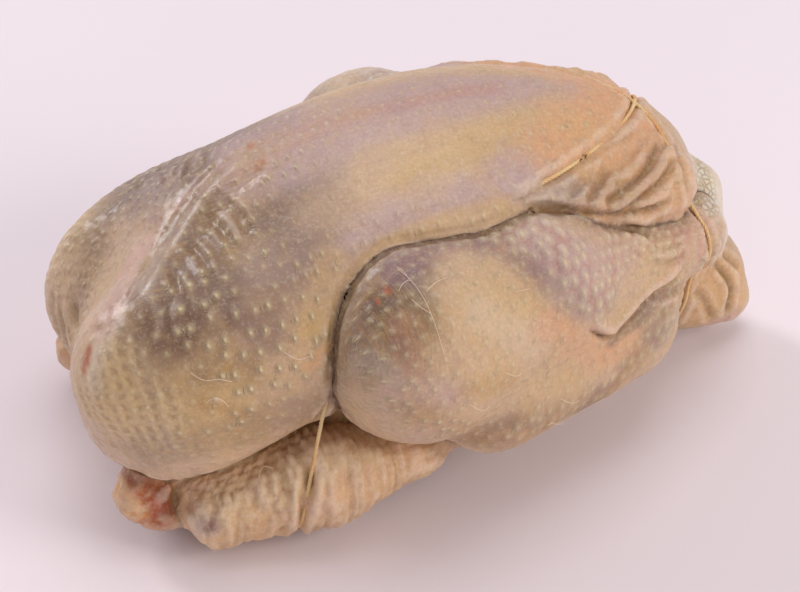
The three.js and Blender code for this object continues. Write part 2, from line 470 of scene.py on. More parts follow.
class Tone(Enum):
    """The skin's colours, as display values from 0 to 255."""

    CREAM = (214, 180, 136)
    YELLOW = (216, 178, 120)
    MAUVE = (199, 169, 167)
    VIOLET = (142, 110, 116)
    ROSE = (198, 140, 122)
    PEACH = (226, 172, 130)
    OCHRE = (182, 140, 84)
    GREY = (180, 160, 146)
    PINK = (214, 166, 150)
    SCALY = (238, 232, 216)
    FAT = (224, 166, 100)
    FLESH = (184, 90, 54)
    BLOOD = (104, 28, 18)
    PALE = (234, 216, 198)
    TWINE = (230, 202, 146)
    # DARK is mostly painted shade, in the creases, the folds' bottoms, the deep hollows and under the
    # drumstick's flap; on the knee it is the flesh's own dark brown
    DARK = (92, 58, 38)
    # UMBER is partly painted shade, in the creases, round the dots, between the beads and in some patches,
    # and partly the skin's own dark specks
    UMBER = (136, 108, 84)
    SHADE = (106, 80, 58)
    RUSSET = (188, 132, 88)
    # DUSK darkens the near breast's middle and the leg's underside, partly as painted shade
    DUSK = (106, 74, 58)
    SAND = (202, 168, 116)
    RAW = (182, 84, 26)
    APRICOT = (222, 158, 104)
    # TOP is the pale tops of the dots, beads and domes, partly their own colour and partly a painted
    # highlight
    TOP = (246, 228, 184)

    def linear(self) -> np.ndarray:
        """The colour in linear light."""
        c = np.array(self.value) / 255
        return np.where(c <= 0.04045, c / 12.92, ((c + 0.055) / 1.055) ** 2.4)


class Grain(Enum):
    """The kinds of fine shape that the skin has, as columns of the skin's grain."""

    PAPILLA = 0
    PIT = 1
    PEBBLE = 2
    BEADS = 3
    STREAK = 4
    SCALES = 5


@dataclass(frozen=True)
class Fold:
    """A fold of the skin along a line of the photograph's pixels.

    The skin sinks by depth along the line, over width, and stands up by lip beside it. A step
    raises the side on the line's left hand, as its pixels run, where one fold overhangs another.
    """

    name: str
    pixels: tuple[Pixel, ...]
    depth: float
    width: float
    lip: float = 0.0
    step: float = 0.0
    reach: float = 9.0
    both_sides: bool = True


@dataclass(frozen=True)
class Patch:
    """A patch of colour or grain along a line of pixels, fading out over reach millimetres."""

    name: str
    pixels: tuple[Pixel, ...]
    kind: Tone | Grain
    reach: float
    strength: float = 0.8
    on: tuple[Region, ...] = tuple(Region)
    both_sides: bool = True


BODY = (Region.TRUNK, Region.SHOULDER, Region.FLANK)
LEGS = (Region.LEG,)
WINGS = (Region.WING,)

HOCK_LINE = ((676, 130), (686, 152), (693, 180), (698, 202), (712, 208), (706, 182), (700, 160))
ELBOW = ((206, 524), (208, 527))

GRAINS = (
    Patch(
        "breast_papillae", ((190, 290), (240, 350), (300, 320), (230, 400), (300, 360)),
        Grain.PAPILLA, 19, 1, BODY,
    ),
    Patch("lobe_papillae", ((200, 250), (270, 250), (320, 270)), Grain.PAPILLA, 12, 0.6, BODY),
    Patch(
        "front_beads", ((92, 410), (118, 360), (122, 430), (150, 400), (160, 440)),
        Grain.BEADS, 14, 0.8, BODY,
    ),
    Patch("far_lobe_beads", ((66, 240), (64, 290), (92, 250), (90, 300)), Grain.BEADS, 12, 0.3, BODY, False),
    Patch(
        "keel_pits", ((300, 205), (360, 185), (430, 180), (480, 150), (400, 150)),
        Grain.PIT, 15, 0.5, BODY,
    ),
    Patch(
        "shin_pebbles", ((500, 232), (555, 240), (600, 300), (620, 245), (670, 232)),
        Grain.PEBBLE, 13, 1, LEGS,
    ),
    Patch("thigh_pebbles", ((670, 300), (655, 335), (600, 390), (520, 430)), Grain.PEBBLE, 9, 0.55, LEGS),
    Patch(
        "leg_papillae", ((380, 340), (420, 390), (480, 350), (540, 400), (520, 300)),
        Grain.PAPILLA, 15, 0.4, LEGS,
    ),
    Patch("knee_streaks", ((360, 360), (390, 300), (430, 330)), Grain.STREAK, 18, 0.9, LEGS),
    Patch("flap_streaks", ((680, 230), (682, 255)), Grain.STREAK, 8, 1, LEGS),
    Patch(
        "ridge_streaks", ((300, 130), (250, 158), (210, 190), (180, 235), (150, 290)),
        Grain.STREAK, 14, 1, BODY, False,
    ),
    Patch(
        "ridge_papillae", ((150, 190), (190, 180), (240, 200), (290, 170), (330, 180)),
        Grain.PAPILLA, 12, 0.6, BODY,
    ),
    Patch("side_papillae", ((420, 200), (480, 170), (540, 140), (590, 120)), Grain.PAPILLA, 13, 0.5, BODY),
    Patch(
        "leg_front_papillae", ((360, 330), (380, 380), (420, 420), (480, 430)),
        Grain.PAPILLA, 10, 0.8, LEGS,
    ),
    Patch("lower_breast_streaks", ((310, 385), (240, 430), (190, 450)), Grain.STREAK, 15, 0.9, BODY),
    Patch("lower_breast_papillae", ((180, 440), (230, 425), (300, 385)), Grain.PAPILLA, 8, 0.6, BODY),
    Patch("wing_gooseflesh", ((200, 510), (240, 470), (280, 490), (300, 440)), Grain.PEBBLE, 15, 1, WINGS),
    Patch("hock_scales", HOCK_LINE, Grain.SCALES, 5.5, 1, both_sides=False),
    Patch("wing_streaks", ((350, 425), (400, 440), (440, 450)), Grain.STREAK, 12, 1, WINGS),
)

FOLDS = (
    Fold(
        "belly_edge", ((500, 203), (525, 195), (565, 172), (602, 150), (631, 133), (648, 126)),
        0.5, 1.5, 0.3, 1.6,
    ),
    Fold(
        "flank_fold", ((601, 209), (615, 195), (632, 184), (645, 170), (652, 155), (661, 138)),
        1.9, 1.6, 0.9, 1.1,
    ),
    Fold("flank_low", ((620, 209), (640, 197), (657, 182), (669, 167), (674, 154)), 1.7, 1.5, 0.9, 0.8),
    Fold("flank_crimp", ((585, 205), (596, 190), (603, 175), (606, 165)), 1.3, 1.3, 0.7),
    Fold("flank_crimp_short", ((566, 204), (574, 192), (579, 181)), 1.0, 1.2, 0.6),
    Fold("flank_crimp_edge", ((645, 178), (655, 166), (663, 150), (667, 140)), 1.0, 1.2, 0.6),
    Fold(
        "flank_crease", ((520, 210), (544, 208), (575, 209), (595, 213), (626, 212), (654, 208), (676, 196)),
        2.6, 1.3, 0.8,
    ),
    Fold("shin_ridge", ((592, 222), (615, 221), (640, 231), (655, 237), (672, 236)), 1.2, 1.4, 1.0),
    Fold("shin_pleat", ((650, 246), (668, 248), (684, 243)), 0.9, 1.1, 0.7),
    Fold("shin_pleat_low", ((652, 262), (668, 262), (686, 252)), 0.9, 1.1, 0.6),
    Fold(
        "shin_flap",
        ((586, 324), (595, 332), (606, 335), (622, 322), (640, 303), (652, 293), (668, 282), (687, 262)),
        2.4, 1.2, 0.5, 2.8, 7.0,
    ),
    Fold("thigh_pleat", ((650, 296), (670, 292), (688, 279)), 1.2, 1.3, 0.6),
    Fold("thigh_pleat_low", ((655, 318), (672, 306), (688, 300)), 0.9, 1.3, 0.5),
    Fold(
        "breast_ridge", ((262, 150), (222, 182), (186, 228), (156, 280), (134, 325)),
        -1.5, 3.4, -0.7, both_sides=False,
    ),
    Fold("ridge_fan_back", ((222, 196), (238, 214), (250, 236)), 0.7, 1.3, 0.4),
    Fold("ridge_fan", ((203, 214), (222, 230), (236, 250)), 0.8, 1.3, 0.5),
    Fold("ridge_fan_front", ((187, 240), (204, 262), (212, 288)), 0.7, 1.2, 0.5),
    Fold("ridge_fan_low", ((172, 268), (182, 296), (184, 322)), 0.6, 1.2, 0.4),
    Fold("lobe_fan_front", ((158, 296), (165, 322), (166, 345)), 0.5, 1.2, 0.4),
    Fold("front_valley", ((125, 275), (112, 300), (105, 318), (96, 340)), 0.7, 5.0, both_sides=False),
    Fold("front_crease", ((60, 300), (64, 325), (75, 362)), 1.2, 1.6, 0.5, both_sides=False),
    Fold("front_crease_left", ((54, 290), (57, 318), (66, 352)), 0.9, 1.4, 0.5, both_sides=False),
    Fold("front_crease_right", ((76, 300), (78, 325), (84, 350)), 0.9, 1.4, 0.5, both_sides=False),
    Fold("tail_fold", ((700, 258), (716, 264), (731, 285), (726, 318)), 2.0, 1.5, 0.8, both_sides=False),
    Fold("tail_fold_low", ((694, 290), (704, 300), (712, 322)), 1.5, 1.4, 0.7, both_sides=False),
    Fold("tail_fan", ((704, 252), (722, 254), (740, 268)), 1.4, 1.3, 0.6, both_sides=False),
    Fold("hock_fold", ((686, 200), (694, 204), (701, 206)), 1.2, 1.2, 0.4, both_sides=False),
    Fold("hock_edge", ((672, 140), (680, 165), (688, 196)), 1.0, 1.2, 0.5, both_sides=False),
)

PATCHES = (
    Patch("breast_sand", ((150, 400), (215, 400), (280, 380), (300, 330)), Tone.SAND, 30, 0.85, BODY),
    Patch("breast_cream", ((200, 350), (260, 330), (300, 290)), Tone.CREAM, 10, 0.5, BODY),
    # The darker middle of the near breast: partly its own dusky colour, partly painted shade where it turns
    # from the light
    Patch(
        "breast_dusk", ((175, 312), (195, 275), (230, 212), (290, 232), (250, 288)),
        Tone.DUSK, 34, 0.86, BODY,
    ),
    # Painted shade along the lower edge of the breast
    Patch("breast_low", ((140, 455), (200, 440), (270, 420), (320, 400)), Tone.UMBER, 13, 0.5, BODY),
    Patch("front_pale", ((114, 318), (98, 350), (92, 380)), Tone.PALE, 7, 0.6, BODY, False),
    Patch("front_yellow", ((120, 370), (110, 420)), Tone.YELLOW, 12, 0.5, BODY),
    Patch(
        "keel_mauve", ((250, 180), (330, 140), (420, 112), (520, 88), (590, 85)),
        Tone.MAUVE, 14, 0.75, BODY,
    ),
    Patch(
        "keel_pink", ((140, 255), (160, 225), (200, 182), (250, 150), (335, 118), (430, 98), (500, 84)),
        Tone.ROSE, 4.5, 0.22, BODY,
    ),
    Patch(
        "side_yellow", ((320, 215), (380, 180), (450, 160), (520, 125), (560, 105)),
        Tone.YELLOW, 12, 0.4, BODY,
    ),
    Patch("side_band", ((400, 190), (440, 165), (520, 150)), Tone.SAND, 6, 0.4, BODY),
    Patch("side_grey", ((360, 235), (420, 205), (480, 190), (520, 170)), Tone.MAUVE, 12, 0.8, BODY),
    # Partly the yellow of skin stretched over the breast's edge, partly painted light on the crease's side
    # wall
    Patch(
        "crease_side", ((334, 350), (342, 300), (378, 252), (440, 222), (500, 205)),
        Tone.YELLOW, 5, 0.6, BODY,
    ),
    Patch("side_cream", ((330, 260), (320, 300), (300, 350)), Tone.YELLOW, 9, 0.5, BODY),
    Patch("belly_peach", ((560, 150), (590, 120), (620, 100), (640, 125)), Tone.PEACH, 18, 0.95, BODY),
    Patch("flank_peach", ((600, 190), (630, 165), (660, 150)), Tone.PEACH, 13, 0.8, BODY),
    Patch("flank_orange", ((585, 203), (600, 190), (625, 195), (660, 170)), Tone.RUSSET, 8, 0.7, BODY),
    Patch("flank_shade", ((580, 195), (605, 188), (625, 203)), Tone.UMBER, 9, 0.45, BODY),
    Patch("flank_grey", ((545, 200), (570, 190)), Tone.GREY, 7, 0.7, BODY),
    # Partly the knee's own dark flesh, partly painted shade where it turns from the light
    Patch("knee_mauve_and_shade", ((350, 350), (370, 310), (395, 330), (400, 280)), Tone.SHADE, 18, 0.85, LEGS),
    # Painted shade on the underside of the near leg
    Patch("leg_low_dark", ((480, 435), (520, 422), (560, 412), (600, 395)), Tone.DUSK, 11, 0.6, LEGS),
    Patch("far_lobe_dark", ((95, 250), (84, 285), (80, 310)), Tone.UMBER, 8, 0.35, BODY, False),
    Patch("knee_brown", ((362, 305), (380, 290), (402, 272)), Tone.DARK, 8, 0.6, LEGS),
    Patch("knee_blue", ((352, 365), (372, 360), (392, 372)), Tone.GREY, 7, 0.7, LEGS),
    Patch("knee_rose", ((400, 330), (410, 360)), Tone.ROSE, 8, 0.4, LEGS),
    Patch("knee_edge", ((340, 360), (348, 320), (375, 285), (410, 258)), Tone.OCHRE, 3.5, 0.5, LEGS),
    Patch(
        "leg_violet", ((400, 265), (440, 240), (490, 240), (540, 265), (580, 310)),
        Tone.VIOLET, 12, 0.85, LEGS,
    ),
    Patch("leg_cream", ((490, 320), (530, 330), (570, 380), (500, 370)), Tone.CREAM, 19, 0.85, LEGS),
    Patch("leg_pale", ((480, 310), (510, 330), (540, 345)), Tone.PALE, 10, 0.3, LEGS),
    Patch("leg_peach", ((555, 325), (600, 350), (630, 345)), Tone.PEACH, 12, 0.75, LEGS),
    Patch("leg_mauve_low", ((400, 400), (450, 400)), Tone.MAUVE, 11, 0.5, LEGS),
    Patch("leg_olive", ((470, 390), (510, 385)), Tone.OCHRE, 7, 0.4, LEGS),
    Patch("leg_ochre", ((410, 410), (450, 428), (510, 440), (570, 425)), Tone.OCHRE, 10, 0.6, LEGS),
    Patch("shin_mauve", ((540, 230), (600, 270), (620, 240)), Tone.MAUVE, 15, 0.8, LEGS),
    Patch("shin_pink", ((600, 218), (640, 225), (680, 225), (682, 250)), Tone.PINK, 7, 0.9, LEGS),
    Patch("shin_flap_pink", ((590, 328), (610, 328), (640, 300), (680, 262)), Tone.PINK, 3.5, 0.7, LEGS),
    Patch("flap_shadow", ((612, 340), (640, 318), (660, 300), (680, 288)), Tone.UMBER, 4, 0.8, LEGS),
    # Painted shadow under the drumstick's flap edge
    Patch(
        "flap_edge_shadow", ((604, 338), (625, 325), (644, 306), (660, 294), (678, 280)),
        Tone.DARK, 1.5, 0.8, LEGS,
    ),
    Patch("shin_tip_grey", ((560, 290), (590, 310), (615, 300)), Tone.GREY, 8, 0.6, LEGS),
    Patch("thigh_grey", ((660, 300), (685, 300), (655, 340)), Tone.GREY, 9, 0.7, LEGS),
    Patch("thigh_shade", ((665, 320), (645, 345), (625, 365)), Tone.UMBER, 8, 0.5, LEGS),
    Patch("thigh_ochre", ((640, 360), (600, 400)), Tone.OCHRE, 8, 0.5, LEGS),
    Patch("tail_fat", ((700, 280), (720, 270), (740, 280), (715, 305)), Tone.FAT, 15, 0.5, both_sides=False),
    Patch("tail_tip", ((743, 268), (746, 276)), Tone.FLESH, 4, 1, both_sides=False),
    Patch("tail_pink", ((705, 325), (735, 315)), Tone.PINK, 5, 0.8, both_sides=False),
    Patch("hock_scaly", HOCK_LINE, Tone.SCALY, 6.5, 1, both_sides=False),
    Patch("hock_pink", ((692, 212), (706, 226), (703, 250)), Tone.PINK, 5.5, 0.9, both_sides=False),
    Patch("wing_pink", ((200, 500), (260, 480), (300, 470)), Tone.PINK, 10, 0.35, WINGS),
    Patch("wing_edge", ((215, 470), (270, 435), (310, 418), (345, 412)), Tone.APRICOT, 9, 0.95, WINGS),
    # Partly the wing's yellow, partly painted light on its top edge under the breast
    Patch("wing_top_light", ((280, 440), (300, 430), (350, 430)), Tone.YELLOW, 5, 0.6, WINGS),
    Patch("wing_under", ((365, 425), (420, 442)), Tone.APRICOT, 6, 0.6, WINGS),
    Patch("wing_cream", ((230, 500), (290, 480), (380, 440)), Tone.CREAM, 11, 0.7, WINGS),
    Patch("wing_gold", ((330, 440), (370, 440), (410, 445)), Tone.APRICOT, 7, 0.5, WINGS),
    Patch("shoulder_flesh", ((140, 480), (158, 495), (160, 515)), Tone.RAW, 13, 1, (Region.SHOULDER,)),
    Patch("shoulder_edge", ((128, 478), (150, 484), (166, 500)), Tone.BLOOD, 3.5, 0.5, (Region.SHOULDER,)),
    Patch("shoulder_fat", ((115, 475), (124, 495), (138, 515)), Tone.FAT, 5, 0.9, (Region.SHOULDER,)),
    Patch("elbow_halo", ELBOW, Tone.GREY, 6.5, 0.7),
    Patch("elbow_spot", ELBOW, Tone.BLOOD, 4.2, 1),
    Patch("front_red", ((89, 350), (84, 370)), Tone.FLESH, 2.6, 0.9, both_sides=False),
    Patch("front_pink", ((140, 250), (115, 295), (100, 325)), Tone.PINK, 9, 0.7, both_sides=False),
    Patch("far_bump", ((340, 80), (380, 72)), Tone.PALE, 22, 0.6, LEGS, False),
    Patch("breast_stain", ((203, 402), (212, 410), (226, 408), (238, 415)), Tone.OCHRE, 4.5, 0.7, BODY),
    Patch("breast_stain_small", ((228, 366), (232, 369)), Tone.OCHRE, 2.5, 0.6, BODY),
    Patch("crease_stain", ((308, 366), (316, 360), (326, 352)), Tone.FAT, 3.5, 0.8, BODY),
    Patch("knee_spot", ((386, 289), (388, 292)), Tone.FLESH, 1.5, 0.8, LEGS),
    Patch("knee_spot_low", ((377, 300), (378, 302)), Tone.FLESH, 1.1, 0.8, LEGS),
    Patch("keel_spot", ((249, 147), (252, 147)), Tone.FLESH, 1.8, 0.7, BODY),
)


@dataclass(frozen=True)
class FollicleRows:
    """Staggered rows of follicles: the spacing in a row and between rows, and which draw."""

    on: tuple[Region, ...]
    spacing: tuple[float, float]
    seed: int


FOLLICLE_ROWS = (
    FollicleRows((*BODY, Region.HOCK), (5.0, 4.2), 51),
    FollicleRows(LEGS, (4.5, 3.9), 31),
    FollicleRows(WINGS, (3.7, 3.2), 41),
)

PLAIN_GRAIN = (
    (Grain.PAPILLA, BODY, 0.34),
    (Grain.PAPILLA, LEGS, 0.36),
    (Grain.PEBBLE, WINGS, 0.4),
    (Grain.PEBBLE, LEGS, 0.12),
    (Grain.STREAK, tuple(Region), 0.22),
    (Grain.STREAK, (Region.FLANK,), 0.4),
    (Grain.STREAK, WINGS, 0.2),
)

PLAIN_TONES = (
    (Tone.PEACH, WINGS, 0.5),
    (Tone.PEACH, (Region.FLANK,), 0.6),
    (Tone.SCALY, (Region.HOCK,), 0.8),
    (Tone.APRICOT, (Region.SHOULDER,), 0.7),
)


@dataclass(frozen=True)
class HollowTone:
    """A colour for what lies sunk, with the depths in millimetres where it starts and is full.

    Depths below 0 are of ridges.
    """

    tone: Tone
    start: float
    full: float
    strength: float


# The dark tone in the deeper hollows is painted shade; the paler tone lies on the ridges
HOLLOW_TONES = (
    HollowTone(Tone.OCHRE, 0.25, 1.4, 0.4),
    HollowTone(Tone.DARK, 0.9, 3.0, 0.6),
    HollowTone(Tone.PALE, -0.15, -0.7, 0.3),
)

HAIRS: dict[str, tuple[Pixel, ...]] = {
    "knee_long": ((398, 270), (411, 282), (424, 301), (433, 321), (444, 354)),
    "knee_fork_left": ((409, 281), (404, 285), (399, 292)),
    "knee_fork_top": ((397, 268), (404, 274), (410, 282)),
    "knee_curl": ((412, 300), (420, 308), (431, 314)),
    "knee_right": ((426, 292), (436, 284), (446, 279)),
    "thigh_top": ((515, 292), (521, 291), (528, 289)),
    "thigh_low_kink": ((546, 424), (552, 420), (559, 427), (562, 421)),
    "thigh_middle": ((505, 372), (513, 374), (521, 371)),
    "breast_right": ((284, 352), (296, 358), (309, 356)),
    "breast_left": ((190, 372), (204, 379), (218, 378), (232, 381)),
    "ridge_short": ((176, 158), (172, 155), (178, 152)),
    "breast_low": ((206, 402), (214, 396), (223, 399), (228, 406)),
    "thigh_low": ((560, 398), (569, 401), (578, 399)),
    "thigh_front": ((470, 404), (480, 408), (489, 405)),
    "wing_top": ((260, 478), (266, 471), (274, 470)),
    "thigh_back": ((612, 396), (620, 392), (629, 393)),
}


# The twine's route, with the same points as in the model's source


@dataclass
class TwineRoute:
    """The loop of twine: under the back, up one side, over the hocks, under the tail and back."""

    flesh: Flesh
    under_back: tuple[float, float, float] = (-54, 0, 1)
    crossing: tuple[float, float, float] = (88, -2, 98)
    under_tail: tuple[float, float, float] = (95, 0, 8)
    side_run: tuple[tuple[float, float, float], ...] = (
        (-58, -54, 3),
        (-57, -66, 14),
        (-56, -68, 26),
        (-51, -63, 40),
        (-46, -58, 54),
        (-43, -57, 66),
        (-41, -56, 80),
        (-34, -52, 91),
        (-19, -46, 99),
        (-3, -41, 100),
        (14, -40, 101),
        (29, -35, 103),
        (44, -32, 106),
        (60, -24, 105),
        (74, -16, 103),
    )
    hock_run: tuple[tuple[float, float, float], ...] = (
        (88, -14, 95),
        (86, -27, 94),
        (86, -33, 82),
        (91, -30, 68),
        (96, -28, 54),
        (98, -24, 38),
        (97, -20, 19),
    )
    steps: int = 112
    sink: float = -0.6
    rise: float = 1.9
    crossing_reach: float = 9
    least_slope: float = 0.25
    settle_rounds: int = 6
    taut_rounds: int = 30
    pull: float = 0.5
    floor: float = 1.2
    curve_steps: int = 24

    def loose(self) -> Points:
        """The loop as drawn, evenly spaced."""
        across = [(x, -y, z) for x, y, z in self.side_run]
        hock_across = [(x, -y, z) for x, y, z in self.hock_run]
        points = [
            self.under_back,
            *self.side_run,
            self.crossing,
            *hock_across,
            self.under_tail,
            *reversed(self.hock_run),
            self.crossing,
            *reversed(across),
        ]
        return resample(curve_through(np.array(points, float), self.curve_steps, True), self.steps, True)

    def taut(self) -> Points:
        """The loop drawn tight: it spans the hollows and nowhere lies deeper than its sink."""
        route = self.loose()
        upper = np.arange(len(route)) > len(route) / 2
        upper &= np.linalg.norm(route - np.array(self.crossing), axis=1) < self.crossing_reach
        sink = np.where(upper, self.sink + self.rise, self.sink)
        for _ in range(self.settle_rounds):
            route = self.flesh.settle(route, sink, self.least_slope)
        for _ in range(self.taut_rounds):
            middle = (np.roll(route, 1, 0) + np.roll(route, -1, 0)) / 2
            route = route + (middle - route) * self.pull
            deep = self.flesh(route) < sink
            route[deep] = self.flesh.settle(route[deep], sink[deep], self.least_slope)
            route[:, 2] = np.maximum(route[:, 2], self.floor)
        return route


def curve_through(points: Points, steps: int, closed: bool) -> Points:
    """A centripetal Catmull-Rom curve.

    Args:
        points: what it passes through.
        steps: points made between each two of them.
        closed: whether it comes back to its start.

    Returns:
        The curve's points.
    """
    count = len(points)
    out = []
    for i in range(count if closed else count - 1):
        if closed:
            p = [points[(i + k) % count] for k in (-1, 0, 1, 2)]
        else:
            p = [points[min(max(i + k, 0), count - 1)] for k in (-1, 0, 1, 2)]
            p[0] = 2 * p[1] - p[2] if i == 0 else p[0]
            p[3] = 2 * p[2] - p[1] if i == count - 2 else p[3]
        gap = [max(np.linalg.norm(b - a), 1e-6) ** 0.5 for a, b in zip(p, p[1:])]
        leave = (p[1] - p[0]) / gap[0] - (p[2] - p[0]) / (gap[0] + gap[1]) + (p[2] - p[1]) / gap[1]
        reach = (p[2] - p[1]) / gap[1] - (p[3] - p[1]) / (gap[1] + gap[2]) + (p[3] - p[2]) / gap[2]
        t = np.arange(steps)[:, None] / steps
        h = (2 * t**3 - 3 * t**2 + 1, t**3 - 2 * t**2 + t, -2 * t**3 + 3 * t**2, t**3 - t**2)
        out.append(h[0] * p[1] + h[1] * leave * gap[1] + h[2] * p[2] + h[3] * reach * gap[1])
    if not closed:
        out.append(points[-1:])
    return np.concatenate(out)


def resample(points: Points, steps: int, closed: bool) -> Points:
    """The same line with its points evenly spaced, steps of them."""
    line = np.concatenate([points, points[:1]]) if closed else points
    at = np.concatenate([[0], np.cumsum(np.linalg.norm(np.diff(line, axis=0), axis=1))])
    wanted = np.linspace(0, at[-1], steps, endpoint=not closed)
    return np.stack([np.interp(wanted, at, line[:, k]) for k in range(line.shape[1])], 1)


# Lines drawn on the skin


@dataclass
class SkinLine:
    """A line on the skin, and how far any point is from it."""

    points: Points

    def measure(self, p: Points, n: Points, reach: float) -> tuple[np.ndarray, ...]:
        """Measures the points near the line.

        Args:
            p: points of the skin.
            n: their normals.
            reach: how near they have to be.

        Returns:
            The near points' numbers, their distances, on which side they are (positive to the left),
            and how far along the line, from 0 to 1.
        """
        low, high = self.points.min(0) - reach, self.points.max(0) + reach
        index = np.flatnonzero(((p > low) & (p < high)).all(1))
        q = p[index]
        best = np.full(len(q), np.inf)
        side = np.zeros(len(q))
        along = np.zeros(len(q))
        last = max(len(self.points) - 1, 1)
        for i, (a, b) in enumerate(zip(self.points, self.points[1:])):
            way = b - a
            t = np.clip((q - a) @ way / max(way @ way, TINY), 0, 1)
            gap = q - (a + t[:, None] * way)
            far = np.linalg.norm(gap, axis=1)
            closer = far < best
            best[closer] = far[closer]
            left = (np.cross(n[index][closer], way) * gap[closer]).sum(1)
            side[closer] = np.sign(left)
            along[closer] = (i + t[closer]) / last
        near = best < reach
        return index[near], best[near], side[near], along[near]


def nearest(points: Points, p: Points, reach: float) -> tuple[np.ndarray, np.ndarray]:
    """Finds what lies near a line's points.

    Args:
        points: the line's points, close together.
        p: points of the skin.
        reach: how near they have to be.

    Returns:
        The near points' numbers and their distances.
    """
    low, high = points.min(0) - reach, points.max(0) + reach
    index = np.flatnonzero(((p > low) & (p < high)).all(1))
    centre = points.mean(0)
    q, c = p[index] - centre, points - centre
    squared = (q * q).sum(1)[:, None] + (c * c).sum(1) - 2 * q @ c.T
    far = np.sqrt(np.maximum(squared.min(1), 0))
    return index[far < reach], far[far < reach]


@dataclass
class Tracer:
    """Throws lines of the photograph's pixels onto the skin, keeping the longest unbroken run."""

    view: PhotoView
    tree: BVHTree
    pixel_step: float = 4
    longest_jump: float = 14
    curve_steps: int = 12

    def cast(self, pixels: Sequence[Pixel]) -> Points:
        """The line's points on the skin, in millimetres."""
        drawn = curve_through(np.array(pixels, float), self.curve_steps, False)
        length = np.linalg.norm(np.diff(drawn, axis=0), axis=1).sum()
        drawn = resample(drawn, max(int(length / self.pixel_step), 2), False)
        eye = Vector(self.view.eye())
        runs: list[list[np.ndarray]] = []
        hits: list[np.ndarray] = []
        for pixel in drawn:
            where = self.tree.ray_cast(eye, Vector(self.view.ray(tuple(pixel))))[0]
            if where is None:
                continue
            point = np.array(where)
            if hits and np.linalg.norm(point - hits[-1]) > self.longest_jump:
                runs.append(hits)
                hits = []
            hits.append(point)
        return np.array(max([*runs, hits], key=len))

    def lines(self, pixels: Sequence[Pixel], both_sides: bool) -> list[tuple[SkinLine, int]]:
        """The line, and its mirror image drawn onto the other side, each with its hand."""
        line = self.cast(pixels)
        if len(line) < 2:
            return []
        out = [(SkinLine(line), 1)]
        if both_sides:
            across = line * np.array([1, -1, 1])
            snapped = [np.array(self.tree.find_nearest(Vector(q))[0]) for q in across]
            out.append((SkinLine(np.array(snapped)), -1))
        return out


# The skin


@dataclass
class SkinMap:
    """What the sculpting and the colours need to know of each vertex."""

    p: Points
    n: Points
    edges: np.ndarray
    region: np.ndarray
    tract: Points
    share: np.ndarray = field(init=False)
    ragged: np.ndarray = field(init=False)
    height: np.ndarray = field(init=False)
    complexion: np.ndarray = field(init=False)
    offset: Points = field(init=False)
    grain: np.ndarray = field(init=False)
    # How much painted shade darkens each vertex at the bottom of a fold
    crease: np.ndarray = field(init=False)
    wet: np.ndarray = field(init=False)
    blur_rounds: int = 4
    ragged_waves: Waves = Waves(9, 111)
    raggedness: float = 0.35
    patch_search: float = 1.4
    patch_core: float = 0.15

    def __post_init__(self) -> None:
        """Starts every layer, and softens the borders of the regions."""
        count = len(self.p)
        self.share = np.eye(len(Region))[self.region]
        for _ in range(self.blur_rounds):
            self.share = spread(self.share, self.edges)
        self.ragged = self.ragged_waves(self.p)
        self.height = np.zeros(count)
        self.complexion = np.tile(Tone.CREAM.linear(), (count, 1))
        self.offset = np.zeros((count, 3))
        self.grain = np.zeros((count, len(Grain)))
        self.crease = np.zeros(count)
        self.wet = np.zeros(count)

    def on(self, *regions: Region) -> np.ndarray:
        """1 on those regions, 0 elsewhere, with a soft border."""
        return self.share[:, [r.value for r in regions]].sum(1)

    def tint(self, tone: Tone, weight: np.ndarray, index: np.ndarray | slice = slice(None)) -> None:
        """Lays a colour over the skin, or over the vertices of that index."""
        self.complexion[index] += (tone.linear() - self.complexion[index]) * weight[:, None]

    def lay(self, patch: Patch, line: Points) -> None:
        """Lays a patch along a line, with a ragged edge."""
        index, far = nearest(line, self.p, patch.reach * self.patch_search)
        torn = far - far.min() + patch.reach * self.raggedness * self.ragged[index]
        weight = patch.strength * fade(torn, patch.reach, patch.reach * self.patch_core)
        weight *= self.share[index][:, [r.value for r in patch.on]].sum(1)
        if isinstance(patch.kind, Grain):
            column = self.grain[:, patch.kind.value]
            column[index] = np.maximum(column[index], weight)
        else:
            self.tint(patch.kind, weight, index)


